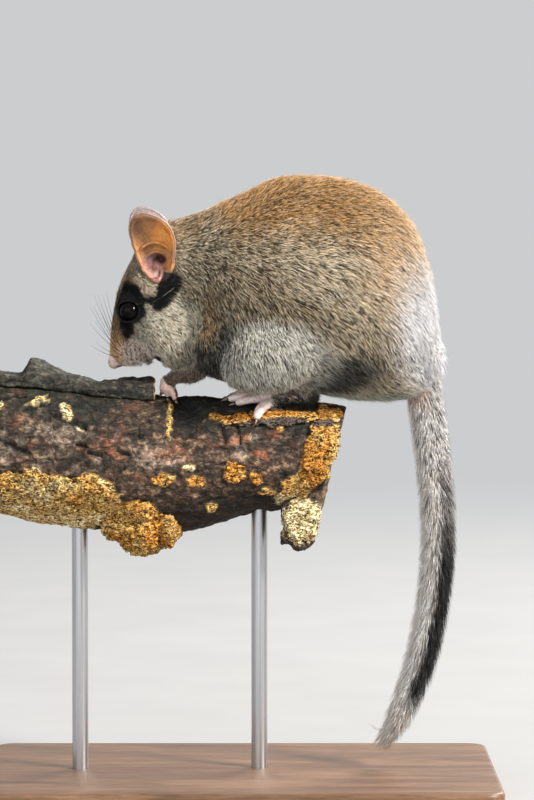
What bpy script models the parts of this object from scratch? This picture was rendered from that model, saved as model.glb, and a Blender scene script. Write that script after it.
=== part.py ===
"""Garden dormouse crouching on a cut branch, held by a plain display stand, at life size.

Metres, +Z up. The animal faces -X, and its left side is towards -Y. The origin is the middle of the
underside of the stand's base. Tables are in millimetres, and MM turns them into metres.
"""

import math
import random

import bmesh
import bpy
import numpy as np
from mathutils import Matrix, Vector
from mathutils.bvhtree import BVHTree

for old in list(bpy.data.objects):
    bpy.data.objects.remove(old)

MM = 0.001
GAP = 0.3 * MM
# A neighbour grown by this leaves the gap also where its facets cut a corner
ROOM = 1.1 * GAP
SIDES = {"left": -1, "right": 1}


# Materials

def finish(name, colour, roughness, metallic=0.0):
    """A plain material: colour is linear red, green and blue."""
    material = bpy.data.materials.new(name)
    material.use_nodes = True
    shader = material.node_tree.nodes["Principled BSDF"]
    shader.inputs["Base Color"].default_value = (*colour, 1.0)
    shader.inputs["Roughness"].default_value = roughness
    shader.inputs["Metallic"].default_value = metallic
    return material


FUR_BROWN = finish("fur_brown", (0.30, 0.19, 0.10), 0.85)
FUR_PALE = finish("fur_pale", (0.55, 0.50, 0.42), 0.85)
EAR_SKIN = finish("ear_skin", (0.62, 0.33, 0.20), 0.6)
PAW_SKIN = finish("paw_skin", (0.72, 0.48, 0.44), 0.55)
EYE_BLACK = finish("eye_black", (0.008, 0.007, 0.008), 0.08)
CLAW_HORN = finish("claw_horn", (0.30, 0.22, 0.18), 0.35)
TAIL_FUR = finish("tail_fur", (0.42, 0.37, 0.33), 0.85)
BARK = finish("bark", (0.075, 0.045, 0.035), 0.9)
CRUST = finish("crust", (0.60, 0.34, 0.10), 0.95)
STAND_WOOD = finish("stand_wood", (0.30, 0.20, 0.12), 0.5)
STAND_STEEL = finish("stand_steel", (0.55, 0.55, 0.56), 0.35, 1.0)


# Shape helpers

def spline(rows, count):
    """count rows on a Catmull-Rom curve through the given rows, ends included."""
    rows = np.array(rows, float)
    ends = np.vstack([2 * rows[0] - rows[1], rows, 2 * rows[-1] - rows[-2]])
    places = np.linspace(0, len(rows) - 1, count)
    left = np.minimum(places.astype(int), len(rows) - 2)
    t = (places - left)[:, None]
    a, b, c, d = (ends[left + k] for k in range(4))
    return 0.5 * (2 * b + (c - a) * t + (2 * a - 5 * b + 4 * c - d) * t**2 + (3 * b - a - 3 * c + d) * t**3)


def add_object(name, bm):
    """Turns a bmesh into an object with outward faces."""
    bmesh.ops.recalc_face_normals(bm, faces=bm.faces)
    mesh = bpy.data.meshes.new(name)
    bm.to_mesh(mesh)
    bm.free()
    obj = bpy.data.objects.new(name, mesh)
    bpy.context.scene.collection.objects.link(obj)
    return obj


def skin_rings(rings):
    """A closed bmesh over rings of points, each ring with as many points as the next."""
    bm = bmesh.new()
    loops = [[bm.verts.new(point) for point in ring] for ring in rings]
    for near, far in zip(loops, loops[1:]):
        for i in range(len(near)):
            j = (i + 1) % len(near)
            bm.faces.new((near[i], near[j], far[j], far[i]))
    for cap in (loops[0], loops[-1]):
        bm.faces.new(cap)
    return bm


def outline_loft(name, rows, rings, sides, widest=0.5, fullness=1.0):
    """A body lofted between two outlines in the side view.

    Each row has x and z of the upper outline, x and z of the lower one, and the half width, in mm. Each ring
    is an oval across the body, whose widest place lies a share `widest` of the way down.
    """
    made = []
    for ux, uz, lx, lz, half in spline(rows, rings) * MM:
        upper = Vector((ux, 0, uz))
        down = Vector((lx, 0, lz)) - upper
        ring = []
        for k in range(sides):
            turn = 2 * math.pi * k / sides
            rise = math.cos(turn)
            share = widest - rise * (widest if rise > 0 else 1 - widest)
            across = math.copysign(abs(math.sin(turn)) ** fullness, math.sin(turn))
            point = upper + down * share
            point.y = half * across
            ring.append(point)
        made.append(ring)
    return add_object(name, skin_rings(made))


def sweep(name, path, radii, sides, rings=None, flat=1.0):
    """A tube along a path in mm, with its radii in mm; flat squeezes it in the plane of its bends."""
    rows = np.column_stack([np.array(path, float), np.array(radii, float)])
    if rings:
        rows = spline(rows, rings)
    points = [Vector(row[:3]) * MM for row in rows]
    across = Vector((0, 1, 0))
    if abs((points[1] - points[0]).normalized().y) > 0.9:
        across = Vector((1, 0, 0))
    made = []
    for i, point in enumerate(points):
        along = (points[min(i + 1, len(points) - 1)] - points[max(i - 1, 0)]).normalized()
        across = (across - along * across.dot(along)).normalized()
        lift = along.cross(across)
        radius = rows[i][3] * MM
        made.append([
            point + across * (radius * math.cos(2 * math.pi * k / sides))
            + lift * (radius * flat * math.sin(2 * math.pi * k / sides))
            for k in range(sides)
        ])
    return add_object(name, skin_rings(made))


def ball(name, centre, radii, tilt_deg=0.0, detail=3):
    """An ellipsoid in mm, tilted about Y, so that a positive tilt lifts its +X end."""
    bm = bmesh.new()
    place = (
        Matrix.Translation(Vector(centre) * MM)
        @ Matrix.Rotation(math.radians(-tilt_deg), 4, "Y")
        @ Matrix.Diagonal((*[r * MM for r in radii], 1.0))
    )
    bmesh.ops.create_icosphere(bm, subdivisions=detail, radius=1.0, matrix=place)
    return add_object(name, bm)


def copy_of(obj, name):
    """A copy with a mesh of its own."""
    twin = bpy.data.objects.new(name, obj.data.copy())
    bpy.context.scene.collection.objects.link(twin)
    return twin


def drop(*objects):
    for obj in objects:
        bpy.data.objects.remove(obj)


def settle(obj):
    """Applies the object's modifiers."""
    bpy.context.view_layer.update()
    graph = bpy.context.evaluated_depsgraph_get()
    mesh = bpy.data.meshes.new_from_object(obj.evaluated_get(graph))
    obj.modifiers.clear()
    obj.data = mesh
    return obj


def keep_largest(obj):
    """Leaves only the closed surface that holds the most volume."""
    bm = bmesh.new()
    bm.from_mesh(obj.data)
    left = set(bm.verts)
    shells = []
    while left:
        start = left.pop()
        shell = {start}
        todo = [start]
        while todo:
            for edge in todo.pop().link_edges:
                for vert in edge.verts:
                    if vert in left:
                        left.discard(vert)
                        shell.add(vert)
                        todo.append(vert)
        shells.append(shell)

    def box_volume(shell):
        corners = np.array([vert.co for vert in shell])
        return float(np.prod(corners.max(0) - corners.min(0)))

    shells.sort(key=box_volume)
    bmesh.ops.delete(bm, geom=[vert for shell in shells[:-1] for vert in shell], context="VERTS")
    bm.to_mesh(obj.data)
    bm.free()
    return obj


def boolean(obj, other, operation):
    """Cuts or intersects obj with another closed object."""
    modifier = obj.modifiers.new("cut", "BOOLEAN")
    modifier.operation = operation
    modifier.object = other
    return keep_largest(settle(obj))


def fuse(obj, pieces):
    """Joins a list of closed pieces to obj in one union, and removes them."""
    group = bpy.data.collections.new("pieces")
    bpy.context.scene.collection.children.link(group)
    for piece in pieces:
        bpy.context.scene.collection.objects.unlink(piece)
        group.objects.link(piece)
    modifier = obj.modifiers.new("join", "BOOLEAN")
    modifier.operation = "UNION"
    modifier.operand_type = "COLLECTION"
    modifier.collection = group
    settle(obj)
    drop(*pieces)
    bpy.data.collections.remove(group)
    return keep_largest(obj)


def melt(pieces, name, voxel, rounds, triangles=None):
    """Melts the pieces into one smooth closed body, on a grid of voxel mm."""
    body = pieces[0]
    with bpy.context.temp_override(active_object=body, selected_editable_objects=pieces):
        bpy.ops.object.join()
    body.name = name
    remesh = body.modifiers.new("melt", "REMESH")
    remesh.mode = "VOXEL"
    remesh.voxel_size = voxel * MM
    soften = body.modifiers.new("soften", "SMOOTH")
    soften.factor = 0.5
    soften.iterations = rounds
    settle(body)
    if triangles:
        thin = body.modifiers.new("thin", "DECIMATE")
        thin.ratio = triangles / (2 * len(body.data.polygons))
        settle(body)
    return keep_largest(body)


def grown(obj, distance):
    """A copy with its surface moved out along the normals."""
    twin = copy_of(obj, obj.name + "_grown")
    normals = [vert.normal.copy() for vert in twin.data.vertices]
    for vert, normal in zip(twin.data.vertices, normals):
        vert.co += normal * distance
    return twin


def clear_of(obj, *neighbours):
    """Cuts obj back so that it keeps the gap to its neighbours."""
    for neighbour in neighbours:
        cutter = grown(neighbour, ROOM)
        boolean(obj, cutter, "DIFFERENCE")
        drop(cutter)
    return obj


SHARP_DEG = 50


def painted(obj, name, material):
    """Renames a finished solid and gives it its one material, shaded smooth but for its cut edges."""
    obj.name = name
    obj.data.name = name
    obj.data.materials.clear()
    obj.data.materials.append(material)
    obj.data.shade_smooth()
    obj.data.set_sharp_from_angle(angle=math.radians(SHARP_DEG))
    return obj


# The perch: a cut length of a gnarled branch, along X

BRANCH_LEFT = -78.8
BRANCH_RIGHT = 29.0
# x, height of the centre, half height, half depth
BRANCH_ROWS = (
    (-78.8, 112.5, 21.5, 20.5),
    (-60.0, 109.5, 22.5, 21.0),
    (-43.0, 107.0, 21.8, 21.0),
    (-25.0, 105.0, 21.8, 21.0),
    (-12.5, 105.5, 21.0, 20.5),
    (3.0, 107.7, 17.8, 19.5),
    (18.0, 108.6, 16.4, 18.5),
    (25.0, 109.4, 15.2, 17.0),
    (29.0, 109.6, 13.8, 15.4),
)
END_SLANT = 0.30
END_SLANT_START = 5.0
BRANCH_RINGS = 20
BRANCH_SIDES = 24
KNOT_HEIGHT = 0.55
FURROW_DEPTH = 0.35
# The share of the knots and furrows that is left on the worn top
WORN_TOP = 0.25


def branch_section(x):
    """Height of the centre, half height and half depth of the branch at x, in mm."""
    rows = np.array(BRANCH_ROWS)
    return [float(np.interp(x, rows[:, 0], rows[:, k])) for k in (1, 2, 3)]


def on_perch(x, turn_deg, lift):
    """The point lift mm off the branch at x, turned from its top; a positive turn goes towards +Y."""
    centre, half_height, half_depth = branch_section(x)
    turn = math.radians(turn_deg)
    across, up = math.sin(turn), math.cos(turn)
    out = Vector((0, across / half_depth, up / half_height)).normalized()
    return Vector((x, half_depth * across, centre + half_height * up)) + out * lift


def branch_loft(name, grow=0.0, right=BRANCH_RIGHT):
    """The branch's long form, with knots and furrows as low waves round it; grow thickens it, in mm."""
    made = []
    for x in np.linspace(BRANCH_LEFT, right, BRANCH_RINGS):
        centre, half_height, half_depth = branch_section(x)
        ring = []
        for k in range(BRANCH_SIDES):
            turn = 2 * math.pi * k / BRANCH_SIDES
            knots = KNOT_HEIGHT * math.sin(3 * turn + 0.11 * x) * math.sin(0.19 * x + 1.0)
            furrows = FURROW_DEPTH * math.sin(7 * turn - 0.07 * x)
            below = 0.5 - 0.5 * math.cos(turn)
            rough = (knots + furrows) * (WORN_TOP + (1 - WORN_TOP) * below) + grow
            rise = (half_height + rough) * math.cos(turn)
            slant = END_SLANT * max(0.0, x - END_SLANT_START) / (BRANCH_RIGHT - END_SLANT_START)
            ring.append(Vector((x + slant * rise, (half_depth + rough) * math.sin(turn), centre + rise)) * MM)
        made.append(ring)
    return add_object(name, skin_rings(made))


branch = branch_loft("perch_branch")
# The broken stub that hangs from the right end
stub = sweep(
    "stub",
    [(22, -2, 106), (20.5, -3, 97), (18.8, -4, 89), (17.8, -4, 82.5)],
    [7.5, 7.2, 6.2, 4.6],
    12, rings=7, flat=0.9,
)
# A knot under the middle of the branch, which the fungus grows on
knot = ball("knot", (-29, -2, 92), (12, 15, 11), detail=2)
fuse(branch, [stub, knot])


def crust(name, region, thickness, material=CRUST):
    """A plate that lies on the branch: the branch made thicker, kept only inside a region."""
    plate = branch_loft("plate", grow=thickness, right=BRANCH_RIGHT + thickness)
    boolean(plate, region, "INTERSECT")
    drop(region)
    return painted(clear_of(plate, branch), name, material)


BARK_THICK = 4.2
# The loose bark lies over the top of the left half
bark_region = sweep("bark_region", [(-77, -3, 133), (-60, -2, 131.5), (-26.8, 0, 128)], [9.5, 9.0, 8.5], 12)
bark = crust("perch_bark", bark_region, BARK_THICK, BARK)

# Patches of crust fungus: the long band low on the left, the strip under the hind foot, the band down the end
band_region = ball("band_region", (-62, -21, 97), (24, 9, 7.5), tilt_deg=-4, detail=2)
crust_band = crust("perch_crust_band", band_region, 1.6)
strip_region = ball("strip_region", (11.5, -17.0, 121.2), (20, 7.0, 3.0), tilt_deg=3, detail=2)
strip_room = grown(strip_region, ROOM)
crust_strip = crust("perch_crust_strip", strip_region, 0.9)
end_region = ball("end_region", (24.5, -15, 111), (5.6, 10, 13.5), tilt_deg=-18, detail=2)
boolean(end_region, strip_room, "DIFFERENCE")
drop(strip_room)
crust_end = crust("perch_crust_end", end_region, 1.3)
spot_region = ball("spot_region", (-1.6, -19, 104.7), (3.4, 5, 3.6), detail=2)
crust_spot = crust("perch_crust_spot", spot_region, 1.0)

# The lump of fungus under the middle
lumps = [
    ball("lump", (-37, -9, 88), (6.5, 8, 7), detail=2),
    ball("lump", (-22.5, -8, 88), (5.5, 9, 8), detail=2),
    ball("lump", (-31, -13, 93), (7, 7, 6), detail=2),
]
fungus = fuse(ball("perch_fungus", (-30.5, -6, 86.5), (9.5, 12.5, 9.8), detail=2), lumps)
clear_of(fungus, branch, crust_band)
painted(fungus, "perch_fungus", CRUST)

# The pale fungus on the hanging stub
pale_fungus = ball("perch_fungus_pale", (19.0, -9.5, 88.2), (6.6, 5.0, 8.4), detail=2)
clear_of(pale_fungus, branch, crust_end)
painted(pale_fungus, "perch_fungus_pale", CRUST)


# The stand: a flat base and two rods, which sit in blind holes in the base and the branch

BASE_LENGTH = 160.0
BASE_DEPTH = 100.0
BASE_THICK = 10.0
BASE_CORNER = 6.0
BASE_EDGE = 1.2
HOLE_DEPTH = 5.0
ROD_RADIUS = 2.5
# x and y of each rod, which ends this deep in the branch
ROD_PLACES = {"front": (-50.0, -2.0), "rear": (6.0, 0.0)}
ROD_SINK = 9.0
ROD_ROOM = 0.3

bm = bmesh.new()
bmesh.ops.create_cube(
    bm, size=1.0,
    matrix=Matrix.Translation((0, 0, BASE_THICK * MM / 2))
    @ Matrix.Diagonal((BASE_LENGTH * MM, BASE_DEPTH * MM, BASE_THICK * MM, 1.0)),
)
upright = [e for e in bm.edges if abs(e.verts[0].co.z - e.verts[1].co.z) > BASE_THICK * MM / 2]
bmesh.ops.bevel(
    bm, geom=upright, offset=BASE_CORNER * MM, segments=4, profile=0.5, affect="EDGES", material=-1,
)
rim = [e for e in bm.edges if all(v.co.z > 0.9 * BASE_THICK * MM for v in e.verts)]
bmesh.ops.bevel(bm, geom=rim, offset=BASE_EDGE * MM, segments=2, profile=0.5, affect="EDGES", material=-1)
base = add_object("stand_base", bm)

for place, (x, y) in ROD_PLACES.items():
    centre, half_height, half_depth = branch_section(x)
    foot, top = BASE_THICK - HOLE_DEPTH, centre - half_height + ROD_SINK
    rod = sweep("rod", [(x, y, foot), (x, y, top)], [ROD_RADIUS] * 2, 16)
    hole_path = [(x, y, foot - ROD_ROOM), (x, y, top + ROD_ROOM)]
    hole = sweep("hole", hole_path, [ROD_RADIUS + ROD_ROOM] * 2, 16)
    boolean(base, hole, "DIFFERENCE")
    boolean(branch, hole, "DIFFERENCE")
    drop(hole)
    painted(rod, "stand_rod_" + place, STAND_STEEL)
painted(base, "stand_base", STAND_WOOD)
painted(branch, "perch_branch", BARK)


# The flesh, lofted and joined as one body and then parted

# Upper outline, lower outline, half width
TORSO_ROWS = (
    (-23.1, 181.0, -13.8, 135.0, 12.0),
    (-12.5, 184.4, -10.3, 132.9, 16.5),
    (0.0, 189.8, -2.5, 130.6, 21.5),
    (15.6, 196.3, 14.1, 128.8, 26.0),
    (31.2, 194.8, 29.7, 126.2, 28.0),
    (45.3, 189.1, 41.2, 125.0, 26.5),
    (54.7, 178.5, 49.4, 125.3, 22.5),
    (59.7, 162.9, 54.7, 126.5, 17.5),
    (61.9, 147.9, 57.5, 128.1, 12.5),
    (63.6, 140.4, 60.6, 130.2, 7.0),
    (64.2, 136.8, 63.3, 133.4, 2.5),
)
HEAD_ROWS = (
    (-40.6, 138.2, -39.8, 135.9, 1.2),
    (-40.7, 140.2, -37.4, 135.2, 3.0),
    (-40.7, 142.8, -34.2, 135.8, 4.5),
    (-40.4, 146.3, -30.2, 137.8, 6.0),
    (-39.8, 150.8, -26.6, 139.5, 7.8),
    (-39.1, 155.7, -22.2, 141.0, 9.4),
    (-37.8, 160.4, -17.2, 142.6, 10.8),
    (-35.6, 166.0, -12.8, 147.2, 12.0),
    (-31.9, 172.9, -10.0, 152.9, 12.6),
    (-26.2, 178.6, -7.5, 159.8, 12.6),
    (-18.0, 181.4, -3.6, 166.0, 11.5),
)


def flesh_pieces():
    """The closed forms that the body's masses are built from, each sunk well into the next."""
    pieces = [
        outline_loft("torso_form", TORSO_ROWS, 40, 48, widest=0.6, fullness=0.92),
        outline_loft("head_form", HEAD_ROWS, 36, 36, widest=0.55, fullness=0.95),
        ball("nose_form", (-39.3, 0, 137.5), (1.9, 2.5, 2.0)),
        ball("jaw_form", (-28.0, 0, 140.2), (4.6, 3.6, 3.6), tilt_deg=20),
    ]
    for way in SIDES.values():
        pieces += [
            ball("lip_form", (-34.6, way * 3.2, 140.6), (4.8, 3.5, 5.2), tilt_deg=-20),
            ball("cheek_form", (-20.6, way * 7.0, 147.2), (11.0, 8.0, 11.6)),
            ball("brow_form", (-33.5, way * 6.2, 154.4), (5.0, 3.9, 5.2)),
            ball("haunch_form", (42.5, way * 12.6, 148.0), (17.5, 12.5, 18.5), tilt_deg=20),
            ball("leg_form", (11.2, way * 17.0, 140.6), (18.5, 11.0, 12.0), tilt_deg=20),
            ball("shoulder_form", (-7.0, way * 11.5, 146.0), (8.0, 7.5, 12.5), tilt_deg=-10),
        ]
    return pieces


FLESH_VOXEL = 0.65
FLESH_ROUNDS = 5
TRUNK_ROUNDS = 28
HEAD_BACK = -12.0
FLESH_TRIANGLES = {"trunk": 1700, "face": 1700}


def thin_flesh(body):
    """Smooths the trunk and thins the triangles, so that the face keeps the finest ones."""
    groups = {part: body.vertex_groups.new(name=part) for part in ("trunk", "face")}
    for vert in body.data.vertices:
        part = "trunk" if vert.co.x > HEAD_BACK * MM else "face"
        groups[part].add([vert.index], 1.0, "REPLACE")
    soften = body.modifiers.new("soften", "SMOOTH")
    soften.factor = 0.5
    soften.iterations = TRUNK_ROUNDS
    soften.vertex_group = "trunk"
    settle(body)
    triangles = {"trunk": 0, "face": 0}
    for face in body.data.polygons:
        triangles["trunk" if face.center.x > HEAD_BACK * MM else "face"] += 2
    for part, wanted in FLESH_TRIANGLES.items():
        before = sum(triangles.values())
        triangles[part] = wanted
        thin = body.modifiers.new("thin", "DECIMATE")
        thin.ratio = sum(triangles.values()) / before
        thin.vertex_group = part
        thin.vertex_group_factor = 1.0
        settle(body)
    body.vertex_groups.clear()
    return body


flesh = thin_flesh(melt(flesh_pieces(), "flesh", FLESH_VOXEL, FLESH_ROUNDS))


SLAB_SIZE = 80 * MM


def slab(upper, lower, ahead):
    """A large block in front of the plane through two points of the side view; ahead moves it along -X."""
    upper = Vector((upper[0], 0, upper[1])) * MM
    lower = Vector((lower[0], 0, lower[1])) * MM
    down = (lower - upper).normalized()
    forward = Vector((0, 1, 0)).cross(down).normalized()
    if forward.x > 0:
        forward = -forward
    centre = (upper + lower) / 2 + forward * (SLAB_SIZE / 2 + ahead)
    bm = bmesh.new()
    turn = Matrix((forward, Vector((0, 1, 0)), forward.cross(Vector((0, 1, 0))))).transposed().to_4x4()
    bmesh.ops.create_cube(bm, size=SLAB_SIZE, matrix=Matrix.Translation(centre) @ turn)
    return add_object("slab", bm)


def part_off(body, cutter, wider_cutter, name, material):
    """Takes the part of body inside cutter as a new node, and leaves the gap that wider_cutter adds."""
    taken = boolean(copy_of(body, name), cutter, "INTERSECT")
    boolean(body, wider_cutter, "DIFFERENCE")
    drop(cutter, wider_cutter)
    return painted(taken, name, material)


HEAD_PLANE = ((-19.8, 182.5), (-11.4, 133.0))
NECK_PLANE = ((-11.0, 187.0), (-4.0, 128.0))
head = part_off(flesh, slab(*HEAD_PLANE, 0.0), slab(*HEAD_PLANE, -GAP), "head", FUR_BROWN)
neck = part_off(flesh, slab(*NECK_PLANE, 0.0), slab(*NECK_PLANE, -GAP), "neck", FUR_BROWN)
legs = {}
LEG_CENTRE = (11.0, 22.0, 139.6)
LEG_RADII = (21.5, 14.5, 14.8)
LEG_TILT_DEG = 20
LEG_GAP = 0.35
for side, way in SIDES.items():
    centre = (LEG_CENTRE[0], way * LEG_CENTRE[1], LEG_CENTRE[2])
    wider = [radius + LEG_GAP for radius in LEG_RADII]
    cutters = [ball("cutter", centre, radii, LEG_TILT_DEG, detail=2) for radii in (LEG_RADII, wider)]
    legs[side] = part_off(flesh, *cutters, "hindleg_" + side, FUR_PALE)
torso = clear_of(painted(flesh, "torso", FUR_BROWN), branch, crust_strip, crust_end)
for leg in legs.values():
    clear_of(leg, branch, crust_strip)


# Head details: eyes in their sockets, lids, nostrils and the line of the mouth

EYE_CENTRE = (-34.1, 7.4, 153.3)
EYE_RADIUS = 3.2
SOCKET_ROOM = 0.35
# Where the eye looks, on the side towards +Y
EYE_LOOK = (-0.32, 0.93, 0.14)
LID_RADIUS = 3.25
LID_THICK = 0.55
LID_OUT = 1.15
NOSTRIL = (-41.0, 1.35, 137.2)
NOSTRIL_RADII = (0.95, 0.5, 0.6)


def ring_round(centre, axis, major, minor, segments, sides):
    """A ring of round section about an axis, in mm."""
    section = Matrix.Translation((major * MM, 0, 0)) @ Matrix.Rotation(math.pi / 2, 4, "X")
    bm = bmesh.new()
    bmesh.ops.create_circle(bm, segments=sides, radius=minor * MM, matrix=section)
    bmesh.ops.spin(
        bm, geom=bm.verts[:] + bm.edges[:], cent=(0, 0, 0), axis=(0, 0, 1), angle=2 * math.pi,
        steps=segments, use_merge=True,
    )
    turn = Vector((0, 0, 1)).rotation_difference(axis).to_matrix().to_4x4()
    bm.transform(Matrix.Translation(centre * MM) @ turn)
    return add_object("ring", bm)


def surface_point(tree, x, z, way):
    """The head's surface at x and z in the side view, seen from one side, in mm."""
    hit = tree.ray_cast(Vector((x, way * 60, z)) * MM, Vector((0, -way, 0)))[0]
    return hit / MM


head_tree = BVHTree.FromObject(head, bpy.context.evaluated_depsgraph_get())
MOUTH_LINE = ((-38.6, 136.7), (-36.4, 136.6), (-34.0, 137.0), (-31.6, 138.2), (-29.6, 140.4), (-28.6, 143.2))
MOUTH_POINTS = 13
MOUTH_RADIUS = 0.5
# The two sides of the mouth meet under the nose, at this x
MOUTH_FRONT = -38.7
lids = []
mouth_sides = {}
nostrils = []
for side, way in SIDES.items():
    centre = Vector((EYE_CENTRE[0], way * EYE_CENTRE[1], EYE_CENTRE[2]))
    look = Vector((EYE_LOOK[0], way * EYE_LOOK[1], EYE_LOOK[2])).normalized()
    lids.append(ring_round(centre + look * LID_OUT, look, LID_RADIUS, LID_THICK, 16, 6))
    mouth_sides[side] = [surface_point(head_tree, x, z, way) for x, z in spline(MOUTH_LINE, MOUTH_POINTS)]
    nostril = (NOSTRIL[0], way * NOSTRIL[1], NOSTRIL[2])
    nostrils.append(ball("nostril", nostril, NOSTRIL_RADII, tilt_deg=-30, detail=1))
fuse(head, lids)
under_nose = head_tree.ray_cast(Vector((MOUTH_FRONT, 0, 0)) * MM, Vector((0, 0, 1)))[0] / MM
mouth_path = mouth_sides["left"][::-1] + [under_nose] + mouth_sides["right"]
half_radii = [MOUTH_RADIUS] * (MOUTH_POINTS - 1) + [0.5 * MOUTH_RADIUS]
mouth = sweep("mouth", mouth_path, half_radii[::-1] + [MOUTH_RADIUS] + half_radii, 5)
for cutter in (mouth, *nostrils):
    boolean(head, cutter, "DIFFERENCE")
    drop(cutter)
for side, way in SIDES.items():
    centre = (EYE_CENTRE[0], way * EYE_CENTRE[1], EYE_CENTRE[2])
    socket = ball("socket", centre, [EYE_RADIUS + SOCKET_ROOM] * 3)
    boolean(head, socket, "DIFFERENCE")
    drop(socket)
    painted(ball("eye", centre, [EYE_RADIUS] * 3), "eye_" + side, EYE_BLACK)


# Ears: thin cupped shells, open to the side and a little forward

EAR_LENGTH = 22.5
EAR_HALF_WIDTH = 7.1
EAR_THICK = 0.8
EAR_ROOT = {"left": (-25.6, -8.4, 162.0), "right": (-26.3, 8.4, 164.0)}
# Shares of the length: where the ear is widest, and where its cup has opened out
EAR_WIDEST = 0.58
EAR_OPEN = 0.45
# The root's width as a share of the widest, and how far the edges wrap round at the root and at the tip
EAR_ROOT_WIDTH = 0.52
EAR_ROOT_WRAP_DEG = 135
EAR_TIP_WRAP_DEG = 50


def ear_shell(name, side):
    """A cup whose cross-section goes from nearly a tube at the root to an open arc at the tip."""
    way = SIDES[side]
    across_steps, along_steps = 10, 8
    lean = Vector((-0.10, way * 0.24, 0.97)).normalized()
    facing = Vector((-0.30, way * 0.93, 0.10))
    facing = (facing - lean * facing.dot(lean)).normalized()
    sideways = lean.cross(facing).normalized()
    root = Vector(EAR_ROOT[side])
    bm = bmesh.new()
    bmesh.ops.create_grid(bm, x_segments=across_steps, y_segments=along_steps, size=1.0)
    for vert in bm.verts:
        a = vert.co.x
        b = (vert.co.y + 1) / 2
        swell = math.sin(math.pi / 2 * min(1.0, b / EAR_WIDEST))
        taper = math.sqrt(max(0.0, 1 - (max(0.0, b - EAR_WIDEST) / (1.02 - EAR_WIDEST)) ** 2))
        half = EAR_HALF_WIDTH * (EAR_ROOT_WIDTH + (1 - EAR_ROOT_WIDTH) * swell) * taper
        opened = min(1.0, b / EAR_OPEN)
        span = math.radians(EAR_ROOT_WRAP_DEG + (EAR_TIP_WRAP_DEG - EAR_ROOT_WRAP_DEG) * opened)
        radius = half / math.sin(min(span, math.pi / 2))
        u = radius * math.sin(a * span)
        depth = radius * (math.cos(span) - math.cos(a * span))
        vert.co = (root + sideways * u + lean * (EAR_LENGTH * b) + facing * depth) * MM
    bmesh.ops.triangulate(bm, faces=bm.faces)
    bmesh.ops.recalc_face_normals(bm, faces=bm.faces)
    bmesh.ops.solidify(bm, geom=bm.faces[:], thickness=EAR_THICK * MM)
    return add_object(name, bm)


for side in SIDES:
    ear = ear_shell("ear_" + side, side)
    clear_of(ear, head)
    painted(ear, "ear_" + side, EAR_SKIN)


# Limbs: forelegs, feet, digits and claws

CLAW_LENGTH = 1.9
FORE_CLAW_LENGTH = 1.2
CLAW_RADII = (0.48, 0.36, 0.08)
CLAW_GAP = 0.4
FOOT_VOXEL = 0.3
FOOT_ROUNDS = 3
HAND_TRIANGLES = 240
FOOT_TRIANGLES = 400


def carve(carriers, *guests):
    """Makes room for the guests, with the gap, in each of the carriers."""
    for guest in guests:
        socket = grown(guest, ROOM)
        for carrier in carriers:
            boolean(carrier, socket, "DIFFERENCE")
        drop(socket)


def digit(path, radius):
    """A toe or finger that narrows to a blunt end."""
    return sweep("digit", path, [radius, 0.88 * radius, 0.72 * radius], 8, rings=6)


def claw(name, path, out, length):
    """A claw past the end of the digit along path, hooked towards the branch; out points off the branch."""
    along = (path[-1] - path[-2]).normalized()
    level = (along - out * along.dot(out)).normalized()
    start = path[-1] + along * CLAW_GAP
    bend = start + (along + level) * (0.25 * length) + out * 0.15
    tip = start + level * length - out * (0.25 * length)
    return painted(sweep(name, [start, bend, tip], CLAW_RADII, 5), name, CLAW_HORN)


def off_perch(x, turn_deg):
    """The way straight off the branch's surface."""
    return on_perch(x, turn_deg, 1.0) - on_perch(x, turn_deg, 0.0)


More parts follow.
